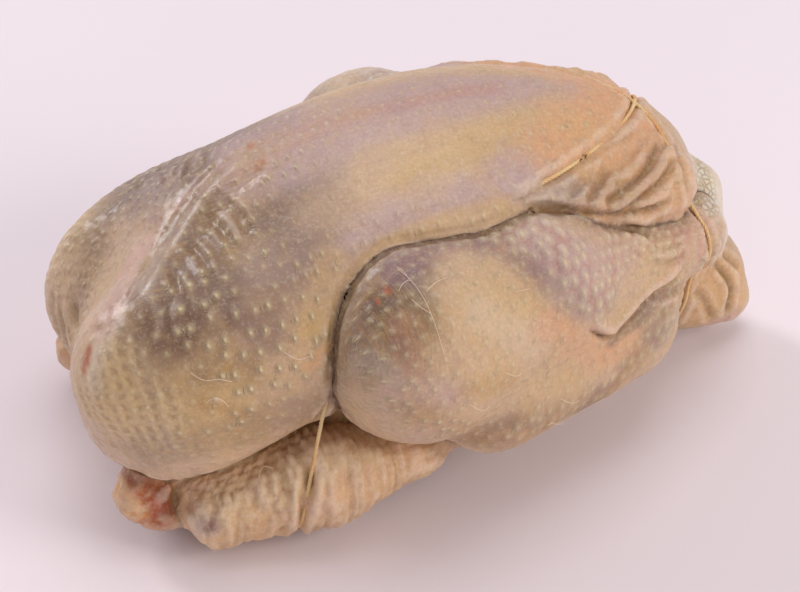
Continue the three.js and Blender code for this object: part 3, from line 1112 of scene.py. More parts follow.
@dataclass(frozen=True)
class Wrinkles:
    """The slack skin's creases.

    The heights are in millimetres. Pairs of places say where a part's creases start and are full.
    """

    sway: Waves = Waves(9, 71, 1, 0.3)
    across_lengths: tuple[float, float] = (3, 17)
    across_seed: int = 72
    along_lengths: tuple[float, float] = (15, 2.8)
    along_seed: int = 74
    front: float = 0.5
    front_ahead: tuple[float, float] = (-70, -100)
    front_below: tuple[float, float] = (95, 40)
    hip: float = 0.5
    hip_from: tuple[float, float] = (80, 100)
    flank: float = 0.5
    flank_along: float = 0.4
    wing: float = 0.8
    wing_bound_at: float = -52
    wing_bound_width: float = 16
    wing_along: float = 0.7
    wing_along_from: tuple[float, float] = (-40, -10)
    wing_lumps: Waves = Waves(5, 85, 2, 0.6)
    cut_lumps: Waves = Waves(6, 81, 3, 1.6)
    cut_crumbs: Waves = Waves(2.8, 82, 2, 0.8)
    tail_lumps: Waves = Waves(9, 83, 2, 0.9)
    tail_from: tuple[float, float] = (98, 110)
    tail_below: tuple[float, float] = (50, 38)

    def furrows(self, skin: SkinMap, lengths: tuple[float, float], seed: int) -> np.ndarray:
        """Furrows between round ridges, with those wavelengths along and around each part."""
        sway = self.sway(skin.p)[:, None]
        return 1 - 2 * np.abs(layered(skin.tract / np.array(lengths) + sway, 1, seed, 2))

    def crease(self, skin: SkinMap) -> None:
        """Adds the creases to the skin's height."""
        x, _, z = skin.p.T
        across = self.furrows(skin, self.across_lengths, self.across_seed)
        along = self.furrows(skin, self.along_lengths, self.along_seed)
        front = skin.on(*BODY) * fade(x, *self.front_ahead) * fade(z, *self.front_below)
        wing, flank, cut = skin.on(Region.WING), skin.on(Region.FLANK), skin.on(Region.SHOULDER)
        bound = bell(x, self.wing_bound_at, self.wing_bound_width)
        hip = skin.on(Region.LEG) * fade(skin.tract[:, 0], *self.hip_from)
        slack = self.front * front + wing * (self.wing + bound) + self.flank * flank + self.hip * hip
        skin.height += across * slack
        drawn_out = self.wing_along * wing * fade(x, *self.wing_along_from) + self.flank_along * flank
        skin.height += along * drawn_out
        skin.height += wing * self.wing_lumps(skin.p)
        skin.height += cut * (self.cut_lumps(skin.p) + self.cut_crumbs(skin.p))
        tail = fade(x, *self.tail_from) * fade(z, *self.tail_below)
        skin.height += tail * self.tail_lumps(skin.p)


@dataclass(frozen=True)
class TwineGroove:
    """The groove that the twine presses into the skin, with a puckered rim."""

    reach: float = 9
    depth: float = 1.5
    width: float = 1.5
    rim: float = 0.7
    rim_place: float = 3.2
    rim_width: float = 1.6
    pucker: float = 0.5
    pucker_place: float = 3.5
    pucker_width: float = 3
    pucker_stretch: tuple[float, float] = (2.6, 0.25)
    pucker_seed: int = 95

    def press(self, skin: SkinMap, route: Points) -> None:
        """Presses the groove. Beside the leg there is none, as the skin closes over the twine."""
        loop = SkinLine(np.concatenate([route, route[:1]]))
        index, far, _, along = loop.measure(skin.p, skin.n, self.reach)
        at = along * len(route)
        open_share = (1 - shut(route))[np.clip(at.astype(int), 0, len(route) - 1)]
        puckered = noise(np.stack([at, far], 1) * np.array(self.pucker_stretch), 1.0, self.pucker_seed)
        groove = self.rim * bell(far, self.rim_place, self.rim_width) - self.depth * bell(far, 0, self.width)
        pucker = self.pucker * puckered * bell(far, self.pucker_place, self.pucker_width)
        skin.height[index] += open_share * (groove + pucker)


@dataclass(frozen=True)
class Tracts:
    """Flat coordinates of the skin in millimetres, along and around each part."""

    body_pole: tuple[float, float, float] = (-20, 0, 42)
    pole_radius: float = 85
    girth_radius: float = 50
    leg_knee: tuple[float, float, float] = (-15, -50, 70)
    leg_hock: tuple[float, float, float] = (94, -20, 58)
    leg_radius: float = 28
    wing_axis: tuple[float, float] = (47, 19)
    wing_radius: float = 18

    def of(self, p: Points, region: np.ndarray) -> Points:
        """Each point's coordinates on the part that its region names."""
        tract = self.body(p)
        for kind, make in ((Region.LEG, self.leg), (Region.WING, self.wing)):
            here = region == kind.value
            tract[here] = make(p[here])
        return tract

    def body(self, p: Points) -> Points:
        """Along and around the body, closing to a pole at the neck."""
        x, y, z = (p - np.array(self.body_pole)).T
        girth = np.hypot(y, z)
        turned = np.arctan2(girth, -x) - math.pi / 2
        along = np.where(x < 0, turned * self.pole_radius, x)
        return np.stack([along, np.arctan2(y, z) * self.girth_radius], 1)

    def leg(self, p: Points) -> Points:
        """Along and around the drumstick."""
        side = np.sign(p[:, 1])
        q = p * np.stack([np.ones(len(p)), -side, np.ones(len(p))], 1)
        knee, hock = np.array(self.leg_knee, float), np.array(self.leg_hock, float)
        along = (hock - knee) / np.linalg.norm(hock - knee)
        up = np.array([0, 0, 1.0]) - along * along[2]
        up /= np.linalg.norm(up)
        out = np.cross(along, up)
        way = q - knee
        return np.stack([way @ along, np.arctan2(way @ out, way @ up) * self.leg_radius], 1)

    def wing(self, p: Points) -> Points:
        """Along and around the wing."""
        y, z = self.wing_axis
        turn = np.arctan2(np.abs(p[:, 1]) - y, p[:, 2] - z)
        return np.stack([p[:, 0], turn * self.wing_radius], 1)


@dataclass(frozen=True)
class Follicles:
    """Feather follicles, in rows: raised dots, pits and close domes. Sizes are in millimetres."""

    stray: float = 0.45
    least_dot: float = 0.65
    dot_height: float = 0.4
    dot_width: float = 1.6
    pit_depth: float = 0.25
    dome_height: float = 0.75
    dome_radius: float = 2.5
    dome_waves: Waves = Waves(13, 61, 1, 0.25)

    def raise_on(self, skin: SkinMap, tracer: Tracer) -> None:
        """Adds them to the skin's height, and keeps the way to the nearest and the grain."""
        chance = np.zeros(len(skin.p))
        for group in FOLLICLE_ROWS:
            here = np.isin(skin.region, [r.value for r in group.on])
            away, chance[here] = rows(skin.tract[here], group.spacing, self.stray, group.seed)
            skin.offset[here] = np.concatenate([away, np.linalg.norm(away, axis=1)[:, None]], 1)
        for kind, regions, amount in PLAIN_GRAIN:
            skin.grain[:, kind.value] += amount * skin.on(*regions)
        for patch in GRAINS:
            for line, _ in tracer.lines(patch.pixels, patch.both_sides):
                skin.lay(patch, line.points)
        for kind in (Grain.PAPILLA, Grain.PIT):
            skin.grain[:, kind.value] *= self.least_dot + (1 - self.least_dot) * chance
        _, _, far = skin.offset.T
        papilla, pit, pebble, *_ = skin.grain.T
        dome = 1 - np.clip(far / self.dome_radius, 0, 1) ** 2
        uneven = 1 - self.dome_waves.height + self.dome_waves(skin.p)
        skin.height += uneven * self.dome_height * pebble * dome
        dots = self.dot_height * papilla - self.pit_depth * pit
        skin.height += dots * bell(far, 0, self.dot_width)


@dataclass(frozen=True)
class Folding:
    """How the folds that the photograph shows are shaped along and across their lines."""

    waves: Waves = Waves(7, 91, 1, 0.3)
    evenness: float = 0.8
    end: float = 0.15
    step_edge: float = 0.5
    # dark_width and deep_fold set the painted shade in a fold's bottom: its width as a share of the fold's
    # width, and the depth at which it is full
    dark_width: float = 0.8
    lip_place: float = 2.2
    deep_fold: float = 2.4

    def sink(self, skin: SkinMap, tracer: Tracer) -> None:
        """Adds the folds to the skin's height, and marks how much painted shade darkens their bottoms."""
        for fold in FOLDS:
            for line, hand in tracer.lines(fold.pixels, fold.both_sides):
                index, far, side, along = line.measure(skin.p, skin.n, fold.reach)
                taper = fade(along, 0, self.end) * fade(1 - along, 0, self.end)
                uneven = self.evenness + self.waves(skin.p[index])
                lip = fold.lip * bell(far, self.lip_place * fold.width, fold.width)
                raised = fold.step * (side * hand > 0) * fade(far, fold.reach, self.step_edge)
                dip = fold.depth * bell(far, 0, fold.width)
                skin.height[index] += (lip + raised - dip) * taper * uneven
                # Painted shade in the fold's bottom, fuller for deeper folds
                deep = np.clip(fold.depth / self.deep_fold, 0, 1)
                dark = bell(far, 0, self.dark_width * fold.width) * taper * deep
                skin.crease[index] = np.maximum(skin.crease[index], dark)


@dataclass(frozen=True)
class Colouring:
    """The skin's colours: its plain tones, its patches, its clouds, and painted shade in its creases and
    hollows.
    """

    mauve_veil: Waves = Waves(22, 101, 3, 0.2)
    yellow_clouds: Waves = Waves(16, 121, 2)
    mauve_clouds: Waves = Waves(20, 131, 2)
    cloud_edge: tuple[float, float] = (0.0, 0.6)
    cloud_strength: float = 0.25
    wet_clouds: Waves = Waves(15, 141)
    wet_edge: tuple[float, float] = (-0.3, 0.5)
    low_yellow: float = 0.4
    low_below: tuple[float, float] = (40, 5)
    between_pebbles: float = 0.45
    pebble_edge: tuple[float, float] = (1.6, 2.6)
    # Painted shade: a shadow spread over the leg beside the creases, and umber and dark tones along the
    # creases and in the folds' bottoms, with less of it on the wing and on the trunk's side
    shadow_rounds: int = 16
    shadow_gain: float = 2.2
    shadow_most: float = 0.75
    meeting_umber: float = 0.7
    meeting_dark: float = 0.9
    meeting_dark_from: float = 0.5
    wing_lightness: float = 0.6
    trunk_lightness: float = 0.5
    crease_umber: float = 0.75
    crease_dark: float = 0.65
    crease_dark_from: float = 0.4
    hollow_rounds: int = 12
    tone_depth: float = 0.885

    def lay(self, skin: SkinMap, tracer: Tracer) -> None:
        """Lays each region's own colour, then the patches that the photograph shows."""
        skin.tint(Tone.MAUVE, self.mauve_veil.height + self.mauve_veil(skin.p))
        for tone, regions, strength in PLAIN_TONES:
            skin.tint(tone, skin.on(*regions) * strength)
        skin.tint(Tone.YELLOW, fade(skin.p[:, 2], *self.low_below) * self.low_yellow)
        for patch in PATCHES:
            for line, _ in tracer.lines(patch.pixels, patch.both_sides):
                skin.lay(patch, line.points)
        for tone, clouds in ((Tone.YELLOW, self.yellow_clouds), (Tone.MAUVE, self.mauve_clouds)):
            skin.tint(tone, fade(clouds(skin.p), *self.cloud_edge) * self.cloud_strength)
        _, _, far = skin.offset.T
        between = fade(far, *self.pebble_edge) * skin.grain[:, Grain.PEBBLE.value]
        skin.tint(Tone.ROSE, between * self.between_pebbles)
        self.paint_crease_shade(skin)
        skin.complexion *= self.tone_depth
        skin.wet = fade(self.wet_clouds(skin.p), *self.wet_edge)

    def paint_crease_shade(self, skin: SkinMap) -> None:
        """Paints shade into the bottoms of the folds and the creases between the parts, and a painted shadow
        on the leg beside them.
        """
        trunk = skin.on(Region.TRUNK, Region.FLANK, Region.HOCK)
        parts = (trunk, skin.on(Region.LEG), skin.on(Region.WING), skin.on(Region.SHOULDER))
        meeting = np.max([4 * a * b for a, b in combinations(parts, 2)], axis=0)
        shadow = meeting[:, None]
        for _ in range(self.shadow_rounds):
            shadow = spread(shadow, skin.edges)
        _, leg, wing, _ = parts
        # Painted shadow on the leg, fading out from where it meets the other parts
        skin.tint(Tone.SHADE, np.minimum(self.shadow_gain * shadow[:, 0], self.shadow_most) * leg)
        # Painted shade along the creases and the folds' bottoms, umber then dark, lighter on the wing and on
        # the trunk's side
        meeting *= 1 - self.wing_lightness * wing
        umber = self.meeting_umber * meeting * (1 - self.trunk_lightness * trunk)
        skin.tint(Tone.UMBER, np.maximum(umber, self.crease_umber * skin.crease))
        dark = self.meeting_dark * fade(meeting, self.meeting_dark_from, 1)
        deep = self.crease_dark * fade(skin.crease, self.crease_dark_from, 1)
        skin.tint(Tone.DARK, np.maximum(dark, deep))

    def shade(self, skin: SkinMap) -> None:
        """Warmer colour in the hollows, with painted shade darkening the deeper ones, and paler on the
        ridges.
        """
        shaped = skin.p + skin.n * skin.height[:, None]
        calm = shaped
        for _ in range(self.hollow_rounds):
            calm = spread(calm, skin.edges)
        sunk = ((calm - shaped) * skin.n).sum(1)
        for hollow in HOLLOW_TONES:
            skin.tint(hollow.tone, fade(sunk, hollow.start, hollow.full) * hollow.strength)


@dataclass
class BirdSkin:
    """The bird's skin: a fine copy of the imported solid, drawn onto the field and sculpted."""

    node: bpy.types.Object
    flesh: Flesh
    view: PhotoView
    route: Points
    voxel: float = 1.1
    relax_rounds: int = 5
    relax_pull: float = 0.5
    least_slope: float = 0.5
    flat_base: float = 0.25
    outer_wing: float = -25
    longest_step: float = 3
    slack: Waves = Waves(26, 11, 2, 0.7)
    fullness: Waves = Waves(9, 21, 2, 0.22)

    def build(self, finish: "SkinFinish") -> bpy.types.Object:
        """Makes the skin's object.

        Args:
            finish: its material.

        Returns:
            The object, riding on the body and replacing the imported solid.
        """
        mesh = self.fine_copy()
        p, edges = self.drawn(mesh)
        LOG.info("skin: %d vertices, %d faces", len(p), len(mesh.polygons))
        skin = self.map(mesh, p, edges)
        tracer = Tracer(self.view, tree_of(mesh))
        self.swell(skin)
        Follicles().raise_on(skin, tracer)
        Wrinkles().crease(skin)
        Folding().sink(skin, tracer)
        TwineGroove().press(skin, self.route)
        LOG.info("skin sculpted")
        Colouring().lay(skin, tracer)
        Colouring().shade(skin)
        LOG.info("skin coloured")
        skin.p = skin.p + skin.n * skin.height[:, None]
        base = p[:, 2] < self.flat_base
        skin.p[base] = p[base]
        skin.p[:, 2] = np.maximum(skin.p[:, 2], 0)
        mesh.vertices.foreach_set("co", (skin.p * MM).astype(np.float32).ravel())
        self.store(mesh, skin)
        mesh.polygons.foreach_set("use_smooth", np.ones(len(mesh.polygons), bool))
        mesh.materials.clear()
        mesh.materials.append(finish.material())
        mesh.update()
        piece = placed("bird_skin", mesh)
        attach(piece, "root")
        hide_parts("bird")
        return piece

    def fine_copy(self) -> bpy.types.Mesh:
        """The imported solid's mesh, merged and remade with small even faces."""
        work = bmesh.new()
        work.from_mesh(self.node.data)
        bmesh.ops.remove_doubles(work, verts=work.verts, dist=1e-6)
        coarse = bpy.data.meshes.new("bird_coarse")
        work.to_mesh(coarse)
        work.free()
        holder = placed("bird_coarse", coarse)
        remesh = holder.modifiers.new("fine", "REMESH")
        remesh.mode = "VOXEL"
        remesh.voxel_size = self.voxel * MM
        remesh.adaptivity = 0
        ready = holder.evaluated_get(bpy.context.evaluated_depsgraph_get())
        mesh = bpy.data.meshes.new_from_object(ready)
        mesh.name = "bird_skin"
        bpy.data.objects.remove(holder)
        bpy.data.meshes.remove(coarse)
        return mesh

    def drawn(self, mesh: bpy.types.Mesh) -> tuple[Points, np.ndarray]:
        """The vertices drawn onto the field, in millimetres, and the mesh's edges."""
        p = vertex_values(mesh) / MM
        edges = np.empty(len(mesh.edges) * 2, np.int32)
        mesh.edges.foreach_get("vertices", edges)
        edges = edges.reshape(-1, 2)
        base = p[:, 2] < self.flat_base
        p[base, 2] = 0
        for _ in range(self.relax_rounds):
            p += (spread(p, edges) - p) * self.relax_pull
            p[base, 2] = 0
            moved = self.flesh.settle(p[~base], 0, self.least_slope)
            step = moved - p[~base]
            far = np.maximum(np.linalg.norm(step, axis=1), TINY)
            p[~base] += step * np.minimum(1, self.longest_step / far)[:, None]
            p[:, 2] = np.maximum(p[:, 2], 0)
        mesh.vertices.foreach_set("co", (p * MM).astype(np.float32).ravel())
        mesh.update()
        return p, edges

    def map(self, mesh: bpy.types.Mesh, p: Points, edges: np.ndarray) -> SkinMap:
        """Everything known of each vertex before the sculpting starts."""
        region = self.flesh.regions(p)
        tract = Tracts().of(p, region)
        return SkinMap(p.copy(), vertex_values(mesh, "normal"), edges, region, tract)

    def swell(self, skin: SkinMap) -> None:
        """Slack and fullness of the skin that no fold names."""
        skin.height += self.slack(skin.p) + self.fullness(skin.p)

    def store(self, mesh: bpy.types.Mesh, skin: SkinMap) -> None:
        """Writes what the finish reads onto the mesh."""
        colour = mesh.attributes.new("complexion", "FLOAT_COLOR", "POINT")
        opaque = np.concatenate([skin.complexion, np.ones((len(skin.p), 1))], 1)
        colour.data.foreach_set("color", opaque.astype(np.float32).ravel())
        papilla, pit, pebble, beads, streak, scales = skin.grain.T
        outer_wing = (skin.region == Region.WING.value) & (skin.p[:, 0] < self.outer_wing)
        crosswise = (skin.region == Region.LEG.value) | outer_wing
        lines = np.where(crosswise[:, None], skin.tract, skin.tract[:, ::-1])
        for name, columns in (
            ("follicle", skin.offset.T),
            ("marks", (papilla - pit, scales, skin.wet)),
            ("grain", (pebble, beads, streak)),
            ("lines", (lines[:, 0], lines[:, 1], np.zeros(len(skin.p)))),
        ):
            layer = mesh.attributes.new(name, "FLOAT_VECTOR", "POINT")
            layer.data.foreach_set("vector", np.stack(columns, 1).astype(np.float32).ravel())


def shut(route: Points) -> np.ndarray:
    """1 where the twine runs deep in the crease beside the leg, 0 where it shows."""
    x, _, z = route.T
    return fade(z, *SHUT_ABOVE) * fade(x, *SHUT_AHEAD)


def laid(
    route: Points, skin: Flesh, rounds: int = 5, longest_step: float = 2, least_slope: float = 0.4
) -> Points:
    """The twine's line, laid on the finished skin at the tail end and as modelled elsewhere.

    Args:
        route: the modelled line.
        skin: the field of the finished skin.
        rounds: of moving it onto the skin.
        longest_step: how far a round may move it.
        least_slope: the smallest squared slope that a step divides by.

    Returns:
        The line.
    """
    out = route.copy()
    for _ in range(rounds):
        step = skin.settle(out, TWINE_REST, least_slope) - out
        far = np.maximum(np.linalg.norm(step, axis=1), TINY)
        out += step * np.minimum(1, longest_step / far)[:, None]
    kept = np.maximum(shut(route), fade(route[:, 0], *LAID_BEHIND))
    return out + (route - out) * kept[:, None]


def spread(values: np.ndarray, edges: np.ndarray) -> np.ndarray:
    """Each vertex's mean of its neighbours' values."""
    count = len(values)
    a, b = edges.T
    degree = np.bincount(a, minlength=count) + np.bincount(b, minlength=count)
    out = np.empty_like(values)
    for k in range(values.shape[1]):
        total = np.bincount(a, values[b, k], count) + np.bincount(b, values[a, k], count)
        out[:, k] = total / np.maximum(degree, 1)
    return out


# Finishes


@dataclass
class NodeTree:
    """A small helper that builds a material's nodes."""

    material: bpy.types.Material

    def __post_init__(self) -> None:
        """Clears the tree and adds the shader and its output."""
        self.material.use_nodes = True
        self.tree = self.material.node_tree
        self.tree.nodes.clear()
        self.shader = self.add("ShaderNodeBsdfPrincipled")
        output = self.add("ShaderNodeOutputMaterial")
        self.link(self.shader.outputs["BSDF"], output.inputs["Surface"])

    def add(self, kind: str, **settings: object) -> bpy.types.Node:
        """A new node with those settings."""
        node = self.tree.nodes.new(kind)
        for name, value in settings.items():
            setattr(node, name, value)
        return node

    def link(self, source: bpy.types.NodeSocket, target: bpy.types.NodeSocket) -> None:
        """Joins two sockets."""
        self.tree.links.new(source, target)

    def feed(self, target: bpy.types.NodeSocket, value: object) -> None:
        """Sets a socket to a value, or links it to another socket."""
        if isinstance(value, bpy.types.NodeSocket):
            self.link(value, target)
        else:
            target.default_value = value

    def attribute(self, name: str, output: str = "Vector") -> bpy.types.NodeSocket:
        """A mesh attribute's value."""
        return self.add("ShaderNodeAttribute", attribute_name=name).outputs[output]

    def place(self) -> bpy.types.NodeSocket:
        """The point in the object's own coordinates, in metres."""
        return self.add("ShaderNodeTexCoord").outputs["Object"]

    def parts(self, vector: bpy.types.NodeSocket) -> tuple[bpy.types.NodeSocket, ...]:
        """The three components of a vector."""
        node = self.add("ShaderNodeSeparateXYZ")
        self.link(vector, node.inputs[0])
        return tuple(node.outputs)

    def length(self, x: bpy.types.NodeSocket, y: bpy.types.NodeSocket) -> bpy.types.NodeSocket:
        """The length of two components."""
        return self.math("SQRT", self.math("ADD", self.times(x, x), self.times(y, y)))

    def times(self, a: object, b: object) -> bpy.types.NodeSocket:
        """The product of two numbers."""
        return self.math("MULTIPLY", a, b)

    def total(self, *shares: tuple[bpy.types.NodeSocket, float]) -> bpy.types.NodeSocket:
        """The sum of sockets, each times its number."""
        out = self.math("MULTIPLY", *shares[0])
        for socket, number in shares[1:]:
            node = self.add("ShaderNodeMath", operation="MULTIPLY_ADD")
            for target, value in zip(node.inputs, (socket, number, out)):
                self.feed(target, value)
            out = node.outputs[0]
        return out

    def math(self, operation: str, *values: object) -> bpy.types.NodeSocket:
        """A sum or other function of numbers."""
        node = self.add("ShaderNodeMath", operation=operation)
        for socket, value in zip(node.inputs, values):
            self.feed(socket, value)
        return node.outputs[0]

    def ramp(
        self, value: bpy.types.NodeSocket, low: float, high: float, top: float = 1.0
    ) -> bpy.types.NodeSocket:
        """A smooth step of the value, from 0 at low to top at high."""
        node = self.add("ShaderNodeMapRange", interpolation_type="SMOOTHSTEP")
        for name, number in (("From Min", low), ("From Max", high), ("To Min", 0.0), ("To Max", top)):
            node.inputs[name].default_value = number
        self.link(value, node.inputs["Value"])
        return node.outputs["Result"]

    def noise(self, vector: bpy.types.NodeSocket, scale: float, detail: float = 2.0) -> bpy.types.NodeSocket:
        """Noise with that many waves a metre."""
        node = self.add("ShaderNodeTexNoise")
        node.inputs["Scale"].default_value = scale
        node.inputs["Detail"].default_value = detail
        self.link(vector, node.inputs["Vector"])
        return node.outputs["Fac"]

    def cells(self, vector: bpy.types.NodeSocket, scale: float) -> bpy.types.NodeSocket:
        """The distance to the nearest cell's edge."""
        node = self.add("ShaderNodeTexVoronoi", feature="DISTANCE_TO_EDGE")
        node.inputs["Scale"].default_value = scale
        self.link(vector, node.inputs["Vector"])
        return node.outputs["Distance"]

    def mix(self, weight: object, a: object, b: object) -> bpy.types.NodeSocket:
        """A colour between two colours."""
        node = self.add("ShaderNodeMix", data_type="RGBA")
        for name, value in (("Factor_Float", weight), ("A_Color", a), ("B_Color", b)):
            self.feed(next(s for s in node.inputs if s.identifier == name), value)
        return next(s for s in node.outputs if s.identifier == "Result_Color")

    def stain(self, colour: object, tone: Tone, weight: object) -> bpy.types.NodeSocket:
        """A colour with a tone laid over it."""
        return self.mix(weight, colour, rgba(tone))

    def bump(self, height: bpy.types.NodeSocket, distance: float, strength: float = 1.0) -> None:
        """Adds a bump to the shader, distance in metres for a height of 1."""
        node = self.add("ShaderNodeBump")
        node.inputs["Distance"].default_value = distance
        node.inputs["Strength"].default_value = strength
        self.link(height, node.inputs["Height"])
        self.link(node.outputs["Normal"], self.shader.inputs["Normal"])


def rgba(tone: Tone) -> tuple[float, float, float, float]:
    """A tone as a shader's colour."""
    return (*tone.linear(), 1.0)


@dataclass(frozen=True)
class SkinFinish:
    """Raw, moist poultry skin: cream over mauve flesh, with follicles, fine relief and a wet coat.

    Heights and the dots' sizes are in millimetres, and the scales of the noises in waves a metre.
    """

    subsurface: float = 0.16
    depth: float = 0.0022
    bleed: tuple[float, float, float] = (1.0, 0.42, 0.24)
    coat: float = 0.2
    coat_roughness: float = 0.17
    roughness: float = 0.32
    dry_roughness: float = 0.14
    dot_radius: float = 0.95
    mound_radius: float = 2.3
    ring_radius: float = 2.4
    dome_radius: float = 2.6
    wander: float = 0.6
    dot_height: float = 1.15
    bead_height: float = 0.6
    bead_spacing: float = 3.4
    dome_height: float = 0.75
    streak_height: float = 0.42
    scale_height: float = 0.4
    web: float = 650.0
    web_height: float = 0.03
    fine_height: float = 0.045
    crinkle: float = 260.0
    crinkle_height: float = 0.2
    scales: float = 430.0
    mottle: float = 250.0
    speckle: float = 900.0
    grain: float = 950.0
    patchiness: float = 420.0
    patch_edge: tuple[float, float] = (0.3, 0.7)
    wander_waves: tuple[tuple[float, float], ...] = ((420, 2), (300, 1))
    dot_tip: float = 0.2
    tip_share: float = 0.5
    cell_edge: tuple[float, float] = (2.0, 1.0)
    bead_sways: tuple[tuple[float, float], ...] = ((70, 5.0), (300, 2.2))
    lattice_share: float = 0.35
    line_fineness: float = 1.3
    line_stretch: float = 0.13
    line_waves: float = 60.0
    line_sway: float = 4.0
    light_from: tuple[float, float] = (0.5, 0.7)
    violet_from: tuple[float, float] = (0.48, 0.3)
    dark_from: tuple[float, float] = (0.5, 0.3)
    line_from: tuple[float, float] = (0.47, 0.3)
    bead_gap_from: tuple[float, float] = (0.4, 0.0)
    scale_gap_from: tuple[float, float] = (0.13, 0.02)
    scale_edge: tuple[float, float] = (0.02, 0.2)
    web_edge: tuple[float, float] = (0.0, 0.12)
    # dot_top, bead_top and dome_top lighten the follicles' tops, partly as a painted highlight; ring_strength
    # and bead_gap_strength are painted shade round the dots and between the beads
    dot_top: float = 0.65
    bead_top: float = 0.3
    dome_top: float = 0.16
    mottle_strength: float = 0.16
    shadow_strength: float = 0.14
    line_strength: float = 0.55
    ring_strength: float = 0.4
    bead_gap_strength: float = 0.35
    scale_gap_strength: float = 0.6
    pit_strength: float = 0.7

    def material(self) -> bpy.types.Material:
        """Builds the material."""
        nodes = NodeTree(bpy.data.materials.new("raw_skin"))
        place = nodes.place()
        papilla, scaly, wet = nodes.parts(nodes.attribute("marks"))
        pebble, beads, streak = nodes.parts(nodes.attribute("grain"))
        dot, ring, dome = self.follicle(nodes, place)
        bead, lines = self.beads(nodes, place), self.lines(nodes, place)
        raised, beaded, domed = nodes.times(dot, papilla), nodes.times(bead, beads), nodes.times(dome, pebble)
        edge, web = nodes.cells(place, self.scales), nodes.cells(place, self.web)
        relief = nodes.total(
            (raised, self.dot_height),
            (beaded, self.bead_height),
            (domed, self.dome_height),
            (nodes.times(nodes.ramp(edge, *self.scale_edge), scaly), self.scale_height),
            (nodes.times(lines, streak), self.streak_height),
            (nodes.ramp(web, *self.web_edge), self.web_height),
            (nodes.noise(place, self.crinkle, 4), self.crinkle_height),
            (nodes.noise(place, self.grain, 4), self.fine_height),
            (nodes.noise(place, self.grain / 3, 3), self.fine_height * 2),
        )
        nodes.bump(relief, MM)
        # Paler tops of the dots, beads and domes: partly their own colour, partly a painted highlight
        tops = nodes.total((raised, self.dot_top), (beaded, self.bead_top), (domed, self.dome_top))
        # Painted shade in a ring round each dot
        below = nodes.math("MAXIMUM", nodes.times(ring, papilla), 0.0)
        gaps = nodes.ramp(edge, *self.scale_gap_from, self.scale_gap_strength)
        colour = self.mottled(nodes, place)
        for tone, weight in (
            (Tone.OCHRE, nodes.times(nodes.ramp(lines, *self.line_from, self.line_strength), streak)),
            # Painted shade round the dots and in the gaps between the beads
            (Tone.UMBER, nodes.times(below, self.ring_strength)),
            (Tone.UMBER, nodes.times(nodes.ramp(bead, *self.bead_gap_from, self.bead_gap_strength), beads)),
            (Tone.TOP, nodes.math("MAXIMUM", tops, 0.0)),
            (Tone.OCHRE, nodes.math("MAXIMUM", nodes.times(raised, -self.pit_strength), 0.0)),
            (Tone.OCHRE, nodes.times(gaps, scaly)),
        ):
            colour = nodes.stain(colour, tone, weight)
        self.dress(nodes, colour, self.dryness(nodes, place, wet))
        return nodes.material

    def mottled(self, nodes: NodeTree, place: bpy.types.NodeSocket) -> bpy.types.NodeSocket:
        """The skin's own colour with blotches of yellow and violet, and light and dark specks."""
        colour = nodes.attribute("complexion", "Color")
        blotch, speck = nodes.noise(place, self.mottle, 5), nodes.noise(place, self.speckle, 4)
        light, dark = self.mottle_strength, self.shadow_strength
        colour = nodes.stain(colour, Tone.YELLOW, nodes.ramp(blotch, *self.light_from, light))
        colour = nodes.stain(colour, Tone.VIOLET, nodes.ramp(blotch, *self.violet_from, dark))
        colour = nodes.stain(colour, Tone.PALE, nodes.ramp(speck, *self.light_from, light))
        return nodes.stain(colour, Tone.UMBER, nodes.ramp(speck, *self.dark_from, dark))

    def dryness(
        self, nodes: NodeTree, place: bpy.types.NodeSocket, wet: bpy.types.NodeSocket
    ) -> bpy.types.NodeSocket:
        """The roughness, more where the skin isn't wet and in patches."""
        patches = nodes.ramp(nodes.noise(place, self.patchiness, 3), *self.patch_edge)
        dry = nodes.total((nodes.ramp(wet, 1.0, 0.0), self.dry_roughness), (patches, self.dry_roughness))
        return nodes.math("ADD", dry, self.roughness)

    def dress(self, nodes: NodeTree, colour: bpy.types.NodeSocket, rough: bpy.types.NodeSocket) -> None:
        """Sets the shader's sockets."""
        for name, value in (
            ("Base Color", colour),
            ("Roughness", rough),
            ("Subsurface Weight", self.subsurface),
            ("Subsurface Radius", self.bleed),
            ("Subsurface Scale", self.depth),
            ("Coat Weight", self.coat),
            ("Coat Roughness", self.coat_roughness),
        ):
            nodes.feed(nodes.shader.inputs[name], value)

    def follicle(self, nodes: NodeTree, place: bpy.types.NodeSocket) -> tuple[bpy.types.NodeSocket, ...]:
        """The dot, the ring round it that takes painted shade, and the wide dome of each follicle, from 0 to
        1.
        """
        x, y, far = nodes.parts(nodes.attribute("follicle"))
        wave, drift = (
            nodes.math("MULTIPLY_ADD", nodes.noise(place, scale, detail), self.wander, -self.wander / 2)
            for scale, detail in self.wander_waves
        )
        away = nodes.length(nodes.math("ADD", x, wave), nodes.math("ADD", y, drift))
        mound = nodes.ramp(away, self.dot_radius * self.mound_radius, 0.0)
        tip = nodes.ramp(away, self.dot_radius, self.dot_radius * self.dot_tip)
        inside = nodes.ramp(far, *self.cell_edge)
        dot = nodes.times(nodes.total((mound, 1 - self.tip_share), (tip, self.tip_share)), inside)
        ring = nodes.times(nodes.ramp(away, self.dot_radius * self.ring_radius, self.dot_radius), inside)
        share = nodes.math("MINIMUM", nodes.math("DIVIDE", far, self.dome_radius), 1.0)
        dome = nodes.math("SUBTRACT", 1.0, nodes.times(share, share))
        return dot, ring, dome

